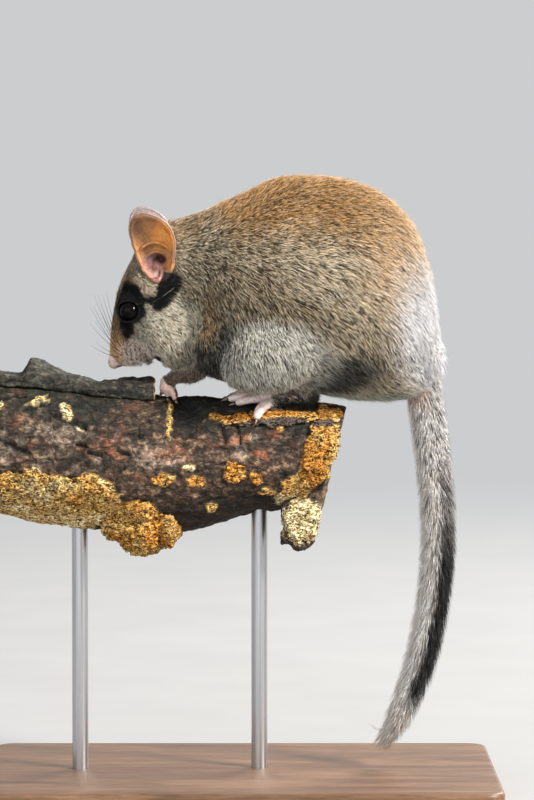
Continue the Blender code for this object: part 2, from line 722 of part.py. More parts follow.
# The x and the turn round the branch of each fingertip and toe tip
FORE_TIPS = ((-24.4, 6), (-24.2, 13), (-22.4, 20), (-20.0, 25))
HIND_TIPS = ((3.4, 9), (-2.2, 13), (-3.5, 20), (-1.2, 27.5))
OUTER_TOE = ((11.0, 25, 1.9), (7.6, 32, 1.9), (5.8, 41, 1.6), (5.3, 48, 1.3))
for side, way in SIDES.items():
    foreleg = sweep(
        "foreleg_" + side,
        [(-10.5, way * 9.8, 143.0), (-10.3, way * 9.6, 138.0), (-13.4, way * 8.8, 134.5),
         (-19.6, way * 7.2, 133.0), (-22.4, way * 6.8, 131.2)],
        [4.2, 3.8, 3.0, 2.3, 1.9],
        10, rings=8,
    )
    carve((neck, torso, head), foreleg)
    painted(foreleg, "foreleg_" + side, FUR_BROWN)

    palm = Vector((-22.6, way * 6.6, 129.6))
    wrist = palm + Vector((-0.3, 0, 1.8))
    pieces = [ball("palm", palm, (2.6, 2.6, 2.2), detail=2), ball("wrist", wrist, (2.0, 2.1, 1.8), detail=2)]
    for number, (x, turn) in enumerate(FORE_TIPS, 1):
        tip = on_perch(x, way * turn, 1.35)
        knuckle = palm.lerp(tip, 0.6) + Vector((0, 0, 1.2))
        path = [palm.lerp(tip, 0.1), knuckle, tip]
        pieces.append(digit(path, 1.15))
        claw("claw_fore_%s_%d" % (side, number), path, off_perch(x, way * turn), FORE_CLAW_LENGTH)
    hand = melt(pieces, "forefoot_" + side, FOOT_VOXEL, FOOT_ROUNDS, HAND_TRIANGLES)
    clear_of(hand, foreleg)
    painted(hand, "forefoot_" + side, PAW_SKIN)

    ankle = sweep(
        "ankle",
        [(17.0, way * 12.0, 134.0), (20.6, way * 9.5, 130.0), on_perch(20.0, way * 20, 2.6)],
        [3.0, 2.6, 2.1], 10, rings=6,
    )
    sole_turns = ((21.0, 20, 2.5), (15.0, 20, 2.7), (9.5, 19, 2.9), (5.0, 18, 2.7))
    sole = sweep(
        "sole", [on_perch(x, way * turn, lift) for x, turn, lift in sole_turns],
        [2.1, 2.5, 3.2, 3.0], 12, rings=9, flat=0.72,
    )
    carve((legs[side], torso), ankle, sole)
    pieces = [sole, ankle]
    toes = []
    for x, turn in HIND_TIPS:
        start = on_perch(7.0, way * (18.5 + 0.5 * (turn - 18.5)), 2.4)
        middle = on_perch((7.0 + x) / 2, way * (18.5 + 0.85 * (turn - 18.5)), 2.7)
        toes.append([start, middle, on_perch(x, way * turn, 1.3)])
    toes.append([on_perch(x, way * turn, lift) for x, turn, lift in OUTER_TOE])
    for number, path in enumerate(toes, 1):
        if len(path) == 3:
            pieces.append(digit(path, 1.35))
        else:
            pieces.append(sweep("digit", path, [1.7, 1.6, 1.4, 1.1], 8, rings=7))
        x, turn = (HIND_TIPS + (OUTER_TOE[-1][:2],))[number - 1]
        claw("claw_hind_%s_%d" % (side, number), path, off_perch(x, way * turn), CLAW_LENGTH)
    foot = melt(pieces, "hindfoot_" + side, FOOT_VOXEL, FOOT_ROUNDS, FOOT_TRIANGLES)
    painted(foot, "hindfoot_" + side, PAW_SKIN)
    if side == "left":
        carve((crust_strip,), foot)


# The tail: two smooth lengths, then the brush with its locks

# x, z and the radius out to the tips of the fur, root to tip
TAIL_ROWS = (
    (56.3, 133.0, 6.2),
    (57.6, 127.0, 6.0),
    (58.9, 118.0, 5.6),
    (60.3, 106.6, 5.4),
    (61.5, 94.1, 5.3),
    (61.9, 81.6, 5.4),
    (61.2, 69.1, 5.6),
    (59.4, 56.6, 5.8),
    (56.6, 44.1, 5.7),
    (52.8, 33.2, 4.7),
    (49.1, 24.8, 3.2),
    (45.0, 19.3, 1.6),
)
TAIL_RINGS = 61
TAIL_CUTS = (14, 32)
CORE_SHARE = 0.48
CORE_THINNING_RINGS = 4
LOCK_LENGTH = 11.0
LOCK_WIDTH = 3.4
LOCK_THICK = 1.24
LOCK_ROWS = 10
LOCKS_IN_ROW = 5
# The last rows, near the thin tip, have one lock less
THIN_ROWS = 3
# How deep a lock's root lies in the core, as a share of the core's radius
LOCK_ROOT_SHARE = 0.55
tail_rows = spline(TAIL_ROWS, TAIL_RINGS)


def tail_length(name, first, last, sides):
    """The tail's form between two of its rings; past the last cut it thins to the core of the brush."""
    path, radii = [], []
    for number in range(first, last + 1, 2):
        x, z, radius = tail_rows[number]
        thinning = min(1.0, max(0.0, (number - TAIL_CUTS[1]) / CORE_THINNING_RINGS))
        path.append((x, 0, z))
        radii.append(radius * (1 - thinning * (1 - CORE_SHARE)))
    return sweep(name, path, radii, sides)


def lock(root, along, out, length, reach):
    """A flat tapered lock of hair, whose tip stands reach mm further out than its root."""
    broad = along.cross(out).normalized()
    made = []
    for share, width, thick in ((0.0, 0.6, 0.8), (0.42, 1.0, 1.0), (1.0, 0.08, 0.2)):
        middle = root + along * (length * share) + out * (reach * share ** 0.6)
        wide = broad * (LOCK_WIDTH / 2 * width)
        high = out * (LOCK_THICK / 2 * thick)
        made.append([(middle + step) * MM for step in (wide, high, -wide, -high)])
    return add_object("lock", skin_rings(made))


tail_root = clear_of(tail_length("tail_root", 0, TAIL_CUTS[0], 16), torso)
painted(tail_root, "tail_root", TAIL_FUR)
tail_middle = clear_of(tail_length("tail_middle", TAIL_CUTS[0], TAIL_CUTS[1], 16), tail_root)
painted(tail_middle, "tail_middle", TAIL_FUR)
tail_brush = tail_length("tail_brush", TAIL_CUTS[1], TAIL_RINGS - 1, 12)
chance = random.Random(7)
locks = []
for row in range(LOCK_ROWS):
    ring = TAIL_CUTS[1] + round(row * (TAIL_RINGS - TAIL_CUTS[1] - 8) / (LOCK_ROWS - 1))
    x, z, radius = tail_rows[ring]
    ahead = tail_rows[min(ring + 4, TAIL_RINGS - 1)]
    along = Vector((ahead[0] - x, 0, ahead[1] - z)).normalized()
    across = Vector((0, 1, 0))
    count = LOCKS_IN_ROW if row < LOCK_ROWS - THIN_ROWS else LOCKS_IN_ROW - 1
    for number in range(count):
        turn = 2 * math.pi * (number + 0.5 * (row % 2)) / count + chance.uniform(-0.12, 0.12)
        out = (across * math.sin(turn) + across.cross(along) * math.cos(turn)).normalized()
        sunk = LOCK_ROOT_SHARE * CORE_SHARE * radius
        tip_radius = float(ahead[2]) * chance.uniform(0.86, 1.0)
        root = Vector((x, 0, z)) + out * sunk
        locks.append(lock(root, along, out, LOCK_LENGTH * chance.uniform(0.88, 1.05), tip_radius - sunk))
fuse(tail_brush, locks)
clear_of(tail_brush, tail_middle)
painted(tail_brush, "tail_brush", TAIL_FUR)
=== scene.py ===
"""A garden dormouse on a cut branch and a plain display stand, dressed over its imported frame.

Metres, +Z up. The animal faces -X, and its left side is towards -Y. Sizes and tables are in millimetres. Each
section makes one piece or one group of like pieces, in the order in which they are put together.
"""

import itertools
import math

import bmesh
import bpy
import numpy as np
from mathutils import Matrix, Vector
from mathutils.bvhtree import BVHTree
from mathutils.kdtree import KDTree


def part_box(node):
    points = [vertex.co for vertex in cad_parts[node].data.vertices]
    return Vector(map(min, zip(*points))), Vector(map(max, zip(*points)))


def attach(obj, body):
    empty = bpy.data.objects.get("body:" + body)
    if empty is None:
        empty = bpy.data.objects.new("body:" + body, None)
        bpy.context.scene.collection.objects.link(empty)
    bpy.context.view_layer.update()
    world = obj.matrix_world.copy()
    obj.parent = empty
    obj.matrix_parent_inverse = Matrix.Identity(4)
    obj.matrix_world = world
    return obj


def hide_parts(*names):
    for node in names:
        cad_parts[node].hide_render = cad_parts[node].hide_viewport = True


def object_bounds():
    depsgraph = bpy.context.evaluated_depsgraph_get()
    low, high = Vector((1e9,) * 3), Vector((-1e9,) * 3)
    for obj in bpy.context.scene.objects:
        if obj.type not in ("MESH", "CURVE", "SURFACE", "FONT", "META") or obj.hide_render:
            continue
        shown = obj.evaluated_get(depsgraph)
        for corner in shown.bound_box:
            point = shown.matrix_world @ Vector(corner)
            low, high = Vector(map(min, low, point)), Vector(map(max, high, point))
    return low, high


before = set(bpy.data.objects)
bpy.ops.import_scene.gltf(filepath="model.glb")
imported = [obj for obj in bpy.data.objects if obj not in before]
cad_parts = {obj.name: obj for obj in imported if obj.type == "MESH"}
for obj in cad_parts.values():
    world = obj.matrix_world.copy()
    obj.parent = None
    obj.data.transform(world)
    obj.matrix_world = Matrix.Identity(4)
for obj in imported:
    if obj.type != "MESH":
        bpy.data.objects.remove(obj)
cad_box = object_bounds()


# Display base
# A flat board of brown hardwood that carries the two rods. Its corners are rounded and its top edge is eased,
# and it is oiled, so that the grain shows with a satin gloss.

MM = 0.001
BASE_CORNER, BASE_EDGE = 6, 1.2
# The grain is drawn out along the board
GRAIN_RUN = (0.12, 1, 1)
SHARP_DEG = 40


class Finish:
    """A material: patterns on a piece's own coordinates, which feed one Principled shader."""

    def __init__(self, name, roughness, gloss=0.5, **fixed):
        self.material = bpy.data.materials.new(name)
        self.material.use_nodes = True
        self.tree = self.material.node_tree
        self.shader = self.tree.nodes["Principled BSDF"]
        for socket, value in {"Roughness": roughness, "Specular_IOR_Level": gloss, **fixed}.items():
            self.shader.inputs[socket.replace("_", " ")].default_value = value

    def feed(self, socket, value):
        """Gives a socket a value, or links it to the output that feeds it."""
        if isinstance(value, bpy.types.NodeSocket):
            self.tree.links.new(value, socket)
        elif socket.type == "RGBA":
            socket.default_value = (*value, 1)
        else:
            socket.default_value = value

    def add(self, kind, inputs=(), **settings):
        """The outputs of a new shader node; inputs gives what feeds each socket."""
        node = self.tree.nodes.new("ShaderNode" + kind)
        for key, value in settings.items():
            setattr(node, key, value)
        for socket, value in dict(inputs).items():
            self.feed(node.inputs[socket], value)
        return node.outputs

    def place(self, scale=(1, 1, 1)):
        """Object coordinates, stretched by scale."""
        return self.add("Mapping", {"Vector": self.add("TexCoord")["Object"], "Scale": scale})[0]

    def noise(self, size, scale=(1, 1, 1), detail=3, roughness=0.5, distortion=0, output="Fac"):
        """Fractal noise with features of about size mm."""
        inputs = {
            "Vector": self.place(scale), "Scale": 1 / (size * MM), "Detail": detail, "Roughness": roughness,
            "Distortion": distortion,
        }
        return self.add("TexNoise", inputs)[output]

    def ramp(self, factor, *stops):
        """A colour ramp over factor; each stop is a place and a linear colour or a grey."""
        factor_node = self.tree.nodes.new("ShaderNodeValToRGB")
        self.feed(factor_node.inputs["Fac"], factor)
        elements = factor_node.color_ramp.elements
        elements[0].position, elements[1].position = stops[0][0], stops[-1][0]
        for place, _ in stops[1:-1]:
            elements.new(place)
        for element, (_, colour) in zip(elements, stops):
            element.color = (*np.broadcast_to(colour, 3), 1)
        return factor_node.outputs["Color"]

    def mix(self, share, a, b, blend="MIX"):
        """Two colours mixed by a share of the second."""
        return self.add("Mix", {0: share, 6: a, 7: b}, data_type="RGBA", blend_type=blend)[2]

    def times(self, a, b, share=1):
        """A colour multiplied by another, by a share."""
        return self.mix(share, a, b, "MULTIPLY")

    def paint(self, colour):
        self.feed(self.shader.inputs["Base Color"], colour)

    def bump(self, height, distance, strength=1):
        """A relief of distance mm."""
        bump = self.add("Bump", {"Height": height, "Distance": distance * MM, "Strength": strength})
        self.feed(self.shader.inputs["Normal"], bump["Normal"])


def piece_from(name, bm):
    """A new object at the origin from a bmesh."""
    mesh = bpy.data.meshes.new(name)
    bm.to_mesh(mesh)
    bm.free()
    return linked(name, mesh)


def linked(name, data):
    """A new object in the scene."""
    piece = bpy.data.objects.new(name, data)
    bpy.context.scene.collection.objects.link(piece)
    return piece


def hand_over(piece, finish, slot, *nodes):
    """Gives a finished piece its material and its place in the frame."""
    piece.data.materials.clear()
    piece.data.materials.append(finish.material)
    piece.data.shade_smooth()
    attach(piece, "root")
    if nodes:
        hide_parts(*nodes)
    return piece


wood = Finish("oiled_wood", 0.42, gloss=0.4)
fibres = wood.noise(0.9, GRAIN_RUN, detail=6, roughness=0.65)
rings = wood.noise(9, GRAIN_RUN, detail=2, distortion=1.2)
broad = wood.ramp(
    rings, (0.3, (0.115, 0.058, 0.03)), (0.52, (0.175, 0.092, 0.047)), (0.7, (0.235, 0.132, 0.07)),
)
wood.paint(wood.times(broad, wood.ramp(fibres, (0.35, (0.55, 0.5, 0.46)), (0.6, 1)), 0.8))
wood.bump(fibres, 0.08)

low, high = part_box("stand_base")
bm = bmesh.new()
board = Matrix.Translation((low + high) / 2) @ Matrix.Diagonal((*(high - low), 1))
bmesh.ops.create_cube(bm, size=1, matrix=board)
corners = [e for e in bm.edges if abs(e.verts[0].co.z - e.verts[1].co.z) > MM]
bmesh.ops.bevel(
    bm, geom=corners, offset=BASE_CORNER * MM, segments=10, profile=0.5, affect="EDGES", material=-1,
)
rim = [e for e in bm.edges if all(v.co.z > high.z - 0.1 * MM for v in e.verts)]
bmesh.ops.bevel(bm, geom=rim, offset=BASE_EDGE * MM, segments=4, profile=0.5, affect="EDGES", material=-1)
base = hand_over(piece_from("display_base", bm), wood, "stand_wood", "stand_base")
base.data.set_sharp_from_angle(angle=math.radians(SHARP_DEG))


# Display rods
# Two lengths of drawn steel rod, polished to a satin gloss. Each stands in a blind hole in the board and ends
# in a blind hole in the branch, where it is glued.

ROD_SIDES = 48

steel = Finish("satin_steel", 0.3, Metallic=1)
drawn = steel.noise(0.5, (1, 1, 0.01), detail=4)
steel.paint(steel.ramp(drawn, (0.3, (0.42, 0.42, 0.43)), (0.7, (0.6, 0.6, 0.61))))
polish = steel.add("MapRange", {"Value": drawn, "To Min": 0.24, "To Max": 0.38})["Result"]
steel.feed(steel.shader.inputs["Roughness"], polish)
for end in ("front", "rear"):
    low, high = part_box("stand_rod_" + end)
    bm = bmesh.new()
    radius = (high.x - low.x) / 2
    bmesh.ops.create_cone(
        bm, cap_ends=True, segments=ROD_SIDES, radius1=radius, radius2=radius, depth=high.z - low.z,
        matrix=Matrix.Translation((low + high) / 2),
    )
    rod = hand_over(piece_from("display_rod_" + end, bm), steel, "stand_steel", "stand_rod_" + end)
    rod.data.set_sharp_from_angle(angle=math.radians(SHARP_DEG))


# Branch
# A cut length of an old fruit-tree branch, thick as a wrist. Its bark is dark and scaly and torn off in a
# band before the hands, and crust fungi grow over its end and underside in thin rough sheets.

BRANCH_VOXEL = 0.5
RIDGE_HEIGHT, PIT_DEPTH, CRACK_DEPTH = 0.45, 0.5, 1.1
CRUST_LIFT, GRAIN_HEIGHT, MOST_LIFT = 0.35, 0.4, 0.9
# The torn band: its sharp edge, where it fades out, its lowest height and its depth
TORN_EDGE, TORN_END, TORN_LOW, TORN_DEPTH = -21.2, -11, 113, 1.3
# The bark's pattern is drawn out a little along the branch
BARK_RUN = (0.75, 1, 1)
# Colours of bark and crust, linear
BARK_TOP = (0.014, 0.016, 0.009)
BARK_MAUVE = (0.26, 0.195, 0.145)
BARK_RUST = (0.26, 0.085, 0.04)
# Nearly black bark, also painted shade on the underside, in pits and in open cracks
BLACK_BARK_AND_SHADE = (0.006, 0.005, 0.004)
RAW_WOOD = (0.17, 0.105, 0.06)
CRUST_ORANGE = (0.52, 0.225, 0.032)
CRUST_YELLOW = (0.58, 0.38, 0.12)
CRUST_CREAM = (0.74, 0.64, 0.36)
# Reddish and greyish mauve places in the bark: x, z, half width and half height
RED_PLACES = (
    (-38, 114, 5, 5.5), (-2, 114.5, 5, 2.2), (6.5, 109.8, 3.2, 1.8), (-22, 110, 7, 2.6), (10.5, 116, 2.6, 2),
)
MAUVE_PLACES = ((-62, 113, 24, 9), (-27, 108, 11, 6), (2, 112.5, 10, 4.5), (19, 111, 6, 6))
# The dark, mossy place under the loose bark, and one in front of the hands that is bare of moss
MOSSY_PLACE = (-57, 126.5, 17, 7)
BARE_PLACE = (-31.5, 120.5, 9.5, 6.5)
# Open cracks in the bark, from one x and z to another, with their half width
CRACKS = (
    (-56.6, 121.9, -47.2, 117.8, 0.85), (-66.3, 123.4, -59.1, 125.4, 0.45), (-76, 115.6, -66.3, 110.6, 1.2),
    (-49.6, 112.6, -47.4, 112.3, 0.8), (-46.6, 110.4, -42.2, 109.1, 0.6), (-37.5, 110.7, -34.1, 109.8, 0.6),
    (-79, 126, -66, 127.6, 0.5), (-5, 118, -4.4, 113, 0.35), (-0.6, 117.6, 0.4, 113.2, 0.3),
)
# Sheets of crust on the bark: x, z, half width, half height, tilt in degrees, and how pale with age
CRUST_PATCHES = (
    (26, 111, 4, 6, -20, 0.3), (22.5, 105.5, 4.6, 6.5, -28, 0.45), (17, 99, 4.4, 4.6, -35, 0.45),
    (14.5, 95.5, 3.6, 3, -30, 0.7), (-1.6, 104.1, 3.6, 3.8, 0, 0.2), (5.2, 102.2, 1.8, 2.6, 10, 0.2),
    (8.4, 98, 2.6, 1.6, 15, 0.3), (-8.8, 92.9, 1.9, 1.4, 10, 0.35), (12.8, 118.3, 0.8, 2, 5, 0.2),
    (-23.2, 102.4, 3.4, 1.7, 8, 0.3), (-15.5, 105.6, 1.8, 1, -20, 0.75), (-62, 94, 26, 9.5, -3, 0.6),
    (-64, 103.6, 2.6, 3, 0, 0.65), (-44, 98.5, 7, 4.8, -20, 0.4), (-33, 90, 9, 5.5, 0, 0.25),
    (-53.2, 122.8, 2.6, 1.6, -30, 0.8), (-73, 125, 1, 1.4, 0, 0.8), (-14, 101, 3, 1.4, 5, 0.15),
    (-62.6, 125.6, 3.6, 0.6, 18, 0.6), (-49.6, 118, 1.6, 0.6, -20, 0.95), (27.6, 122.2, 3.8, 1.8, 0, 0.15),
    (-7.6, 121, 1.9, 1.3, -8, 0.2),
)


def merged_copy(name, *nodes):
    """A new object with copies of CAD nodes, their loose triangles joined."""
    bm = bmesh.new()
    for node in nodes:
        bm.from_mesh(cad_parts[node].data)
    bmesh.ops.remove_doubles(bm, verts=bm.verts, dist=0.01 * MM)
    return piece_from(name, bm)


def settled(piece):
    """The piece with its modifiers applied."""
    bpy.context.view_layer.update()
    graph = bpy.context.evaluated_depsgraph_get()
    mesh = bpy.data.meshes.new_from_object(piece.evaluated_get(graph))
    piece.modifiers.clear()
    piece.data = mesh
    return piece


def smoothed(piece, rounds):
    """The piece with its surface evened out in rounds, and its modifiers applied."""
    smooth = piece.modifiers.new("smooth", "SMOOTH")
    smooth.factor = 0.5
    smooth.iterations = rounds
    return settled(piece)


def remeshed(piece, voxel, rounds):
    """Turns the piece into one even closed skin, smoothed in rounds."""
    remesh = piece.modifiers.new("remesh", "REMESH")
    remesh.mode = "VOXEL"
    remesh.voxel_size = voxel * MM
    return smoothed(piece, rounds)


def arrays_of(piece):
    """The piece's vertices in mm and their normals, as arrays."""
    count = len(piece.data.vertices)
    points, normals = np.empty(count * 3, np.float32), np.empty(count * 3, np.float32)
    piece.data.vertices.foreach_get("co", points)
    piece.data.vertex_normals.foreach_get("vector", normals)
    return points.reshape(-1, 3).astype(float) / MM, normals.reshape(-1, 3).astype(float)


def set_points(piece, points):
    """Moves the piece's vertices to points in mm."""
    piece.data.vertices.foreach_set("co", (points * MM).astype(np.float32).ravel())
    piece.data.update()


def grain(points, size, seed):
    """Smooth noise from -1 to 1 with features of size mm, or of a size along each axis."""
    place = points / np.asarray(size, float) + 17.31 * seed
    cell = np.floor(place).astype(np.int64)
    part = place - cell
    part = part * part * (3 - 2 * part)
    total = np.zeros(len(points))
    for corner in itertools.product((0, 1), repeat=3):
        key = (cell + corner) @ np.array((73856093, 19349663, 83492791))
        key = ((key ^ (key >> 13)) * 1274126177) & 0x7FFFFFFF
        key = ((key ^ (key >> 15)) * 668265263) & 0x7FFFFFFF
        weight = np.prod(np.where(corner, part, 1 - part), axis=1)
        total += weight * ((key >> 8 & 0xFFFF) / 32767.5 - 1)
    return total


def moved(points, along, up):
    """Points shifted by an amount of their own in x and in z."""
    return points + np.column_stack([along, np.zeros(len(points)), up])


def rise(value, start, end):
    """0 before start, 1 after end, and smooth between."""
    share = np.clip((value - start) / (end - start), 0, 1)
    return share * share * (3 - 2 * share)


def fall(value, start, end):
    """1 before start, 0 after end, and smooth between."""
    return 1 - rise(value, start, end)


def even(colour, points):
    """One colour for every point."""
    return np.tile(colour, (len(points), 1))


def layered(colours, *layers):
    """Rows of colours with layers laid over them in turn: each is a colour, and its share of each row."""
    for colour, share in layers:
        colours = colours + (np.asarray(colour) - colours) * np.asarray(share)[:, None]
    return colours


def oval(points, x, z, wide, tall, tilt=0):
    """How far points lie from a tilted oval's centre in the side view, where 1 is on its line."""
    along, up = points[:, 0] - x, points[:, 2] - z
    c, s = math.cos(math.radians(tilt)), math.sin(math.radians(tilt))
    return np.hypot((along * c + up * s) / wide, (up * c - along * s) / tall)


def away_from_line(points, line):
    """Distance in the side view from points to a line of x and z stops."""
    best = np.full(len(points), 1e9)
    flat = points[:, (0, 2)]
    for start, end in zip(line, line[1:]):
        start, run = np.array(start), np.array(end) - np.array(start)
        share = np.clip((flat - start) @ run / (run @ run), 0, 1)
        best = np.minimum(best, np.linalg.norm(flat - start - share[:, None] * run, axis=1))
    return best


def tinted(piece, colours, cover=1):
    """Stores a colour for each vertex in the attribute tone, and in its alpha how far it covers."""
    tone = piece.data.color_attributes.new("tone", "FLOAT_COLOR", "POINT")
    rows = np.ones((len(colours), 4), np.float32)
    rows[:, :3] = colours
    rows[:, 3] = cover
    tone.data.foreach_set("color", rows.ravel())
    return piece


def tone_of(finish, output="Color"):
    return finish.add("Attribute", attribute_name="tone")[output]


def crust_colour(points, age, seed):
    """Colours of crust: orange while fresh, yellow and then cream with age, in cloudy patches."""
    age = np.clip(age + 0.3 * grain(points, 5, seed) + 0.16 * grain(points, 1.6, seed + 1), 0, 1)
    yellow, cream = (CRUST_YELLOW, rise(age, 0.1, 0.5)), (CRUST_CREAM, rise(age, 0.5, 0.9))
    return layered(even(CRUST_ORANGE, points), yellow, cream)


def crust_look(finish):
    """Colour and height of crust: short worm-like grains with painted highlight, between pits of painted
    shade.
    """
    worms = finish.noise(0.72, (0.55, 1, 1), detail=3, roughness=0.6, distortion=1.4)
    pore_shade_and_highlight = finish.ramp(
        worms, (0.39, (0.05, 0.025, 0.015)), (0.46, (0.36, 0.25, 0.17)), (0.53, (1, 0.95, 0.88)),
        (0.62, (1.75, 1.8, 1.85)),
    )
    return finish.times(tone_of(finish), pore_shade_and_highlight), worms


bark = Finish("scaly_bark", 0.75, gloss=0.35)
scales = bark.noise(1.9, BARK_RUN, detail=9, roughness=0.74, distortion=0.3)
colour = bark.ramp(
    scales, (0.38, (0.006, 0.005, 0.004)), (0.47, (0.026, 0.016, 0.01)), (0.55, (0.08, 0.049, 0.031)),
    (0.64, (0.28, 0.19, 0.12)),
)
blotches = bark.noise(5, (0.7, 1, 1), detail=8, roughness=0.68)
colour = bark.mix(bark.ramp(blotches, (0.52, 0), (0.7, 0.6)), colour, (0.15, 0.052, 0.026))
broad = bark.noise(11, (0.6, 1, 1), detail=5, roughness=0.6)
colour = bark.times(colour, bark.ramp(broad, (0.38, (0.45, 0.45, 0.43)), (0.62, (1.45, 1.4, 1.3))))
warp = bark.noise(3, BARK_RUN, output="Color")
warp = bark.add("VectorMath", {0: warp, 1: (0.004, 0.004, 0.004)}, operation="MULTIPLY")[0]
warped = bark.add("VectorMath", {0: bark.place(BARK_RUN), 1: warp}, operation="ADD")[0]
plates = {"Vector": warped, "Scale": 1 / (5.5 * MM)}
cracks = bark.add("TexVoronoi", plates, feature="DISTANCE_TO_EDGE")["Distance"]
crack_shade = bark.ramp(cracks, (0, (0.12, 0.11, 0.1)), (0.05, 1))
colour = bark.times(colour, crack_shade, 0.6)
specks = bark.noise(0.55, detail=4, roughness=0.7)
colour = bark.mix(1, colour, bark.ramp(specks, (0.64, 0), (0.72, (0.16, 0.14, 0.09))), "ADD")
flecks = bark.ramp(scales, (0.4, (0.15, 0.13, 0.11)), (0.5, 0.65), (0.62, (2.1, 2.05, 2)))
tinted_bark = bark.times(tone_of(bark), bark.times(flecks, crack_shade, 0.6))
crust_shade, worms = crust_look(bark)
under_crust = bark.add("Attribute", attribute_name="crusted")["Fac"]
tinted_bark = bark.mix(under_crust, tinted_bark, crust_shade)
bark.paint(bark.mix(tone_of(bark, "Alpha"), colour, tinted_bark))
height = bark.mix(1, bark.ramp(cracks, (0, 0), (0.08, 0.5)), scales, "ADD")
bark.bump(bark.mix(under_crust, height, worms), 0.55, 0.9)


def nearest_oval(points, places):
    """How far points lie from the nearest of some ovals."""
    return np.min([oval(points, *place) for place in places], axis=0)


def crust_cover(points):
    """How far crust covers each point of the bark, and how old it is there."""
    shift = [1.1 * grain(points, 3, seed) + 0.7 * grain(points, 1.1, seed + 1) for seed in (71, 73)]
    soft = moved(points, *shift)
    cover, age = np.zeros(len(points)), np.zeros(len(points))
    for x, z, wide, tall, tilt, old in CRUST_PATCHES:
        edge = 0.25 / min(wide, tall)
        share = fall(oval(soft, x, z, wide, tall, tilt), 1 - edge, 1 + edge)
        age = np.where(share > cover, old, age)
        cover = np.maximum(cover, share)
    return cover * rise(-points[:, 1] + shift[0], 0.5, 2), age


def torn_band(points, facing):
    """How far the bark is torn off at each point, and how far the raised rim of the tear covers it."""
    edge = 0.7 * grain(points, (3, 3, 2), 3) + 0.25 * grain(points, 0.9, 4)
    along, up = points[:, 0] + edge, points[:, 2] + 3 * edge
    fade = fall(points[:, 0] + 3 * edge, TORN_EDGE + 5, TORN_END) * facing
    torn = rise(along, TORN_EDGE, TORN_EDGE + 0.6) * fade * rise(up, TORN_LOW, TORN_LOW + 4)
    rim = rise(along, TORN_EDGE - 1.3, TORN_EDGE - 0.9) * (1 - torn) * fade
    rim = rim * rise(up, TORN_LOW, TORN_LOW + 3) * fall(along, TORN_EDGE, TORN_EDGE + 0.5)
    return torn, rim


def cracked(points, facing):
    """How far each point lies in an open crack."""
    shaky = moved(points, 0.5 * grain(points, 2, 8), 0.5 * grain(points, 2, 9))
    open_cracks = np.zeros(len(points))
    for x, z, end_x, end_z, wide in CRACKS:
        away = away_from_line(shaky, ((x, z), (end_x, end_z))) / wide
        open_cracks = np.maximum(open_cracks, facing * fall(away, 0.4, 1.4))
    return open_cracks


branch = remeshed(merged_copy("branch", "perch_branch"), BRANCH_VOXEL, 2)
points, normals = arrays_of(branch)
facing = rise(-points[:, 1], 2, 8)
torn, rim = torn_band(points, facing)
ridges = grain(points, (14, 3.2, 3.2), 1) + 0.6 * grain(points, (6, 1.5, 1.5), 2)
pits = rise(grain(points, (9, 2.2, 2.2), 5), 0.35, 0.7)
on_end = rise(np.abs(normals[:, 0]), 0.6, 0.85)
open_cracks = cracked(points, facing)
crust, age = crust_cover(points)
lift = RIDGE_HEIGHT * ridges - PIT_DEPTH * pits + 0.2 * grain(points, 1, 13)
lift = lift * (1 - 0.8 * on_end) + 0.25 * on_end * grain(points, 1.2, 6) - TORN_DEPTH * torn
lift = lift * (1 - 0.6 * crust) + crust * (CRUST_LIFT + GRAIN_HEIGHT * grain(points, (1.1, 0.8, 0.8), 12))
lift = np.minimum(lift - CRACK_DEPTH * open_cracks, MOST_LIFT)
set_points(branch, points + normals * lift[:, None])
bare_bark = fall(oval(points, *BARE_PLACE) + 0.3 * grain(points, 2.5, 24), 0.6, 1.2)
mossy = fall(oval(points, *MOSSY_PLACE) + 0.25 * grain(points, 3, 23), 0.7, 1.15)
above = rise(normals[:, 2] + 0.2 * grain(points, 3, 20), 0.3, 0.75)
above = np.maximum(above * (1 - 0.8 * bare_bark), mossy)
below = rise(-normals[:, 2] + 0.2 * grain(points, (9, 3, 3), 21), 0.25, 0.7)
red = nearest_oval(points, RED_PLACES) + 0.6 * grain(points, 2.2, 15) + 0.4 * grain(points, 0.9, 18)
red = facing * fall(red, 0, 1.3)
mauve = 0.8 * fall(nearest_oval(points, MAUVE_PLACES), 0.5, 1.3) * facing
mauve = mauve * rise(grain(points, 4, 16) + 0.5 * grain(points, 1.2, 22), -0.5, 0.6)
colours = even(BARK_TOP, points)
cover = 0.92 * above * rise(grain(points, 6, 14) + 0.4 * grain(points, 2, 19), -0.9, 0)
# Painted shade: the bark is darkened on its underside, in its pits and in its open cracks
for layer, share in (
    (BARK_MAUVE, mauve), (BARK_RUST, 0.75 * red), (BLACK_BARK_AND_SHADE, 0.75 * below), (BLACK_BARK_AND_SHADE, 0.7 * pits),
    (BLACK_BARK_AND_SHADE, 0.95 * open_cracks), (BLACK_BARK_AND_SHADE, 0.85 * torn), (RAW_WOOD, 0.85 * on_end * (1 - crust)),
    (CRUST_YELLOW, rim), (crust_colour(points, age, 17), crust),
):
    colours = layered(colours, (layer, np.where(cover > 0.02, share, 1)))
    cover = cover + (1 - cover) * share
crusted = branch.data.attributes.new("crusted", "FLOAT", "POINT")
crusted.data.foreach_set("value", np.maximum(crust, rim).astype(np.float32))
hand_over(tinted(branch, colours, cover), bark, "bark", "perch_branch")


# Loose bark
# A thick plate of old bark that has come away from the top of the branch and lies along it, furrowed and
# nearly black. Weather has broken its upper edge into a jagged line.

PLATE_VOXEL = 0.45
# Height of the CAD plate's top edge at its two ends, and its thickness
PLATE_ENDS = ((-77, 137.9), (-26.1, 131.4))
PLATE_THICK = 5
PLATE_BROKEN_FROM = -28
PLATE_GREY = (0.032, 0.033, 0.024)
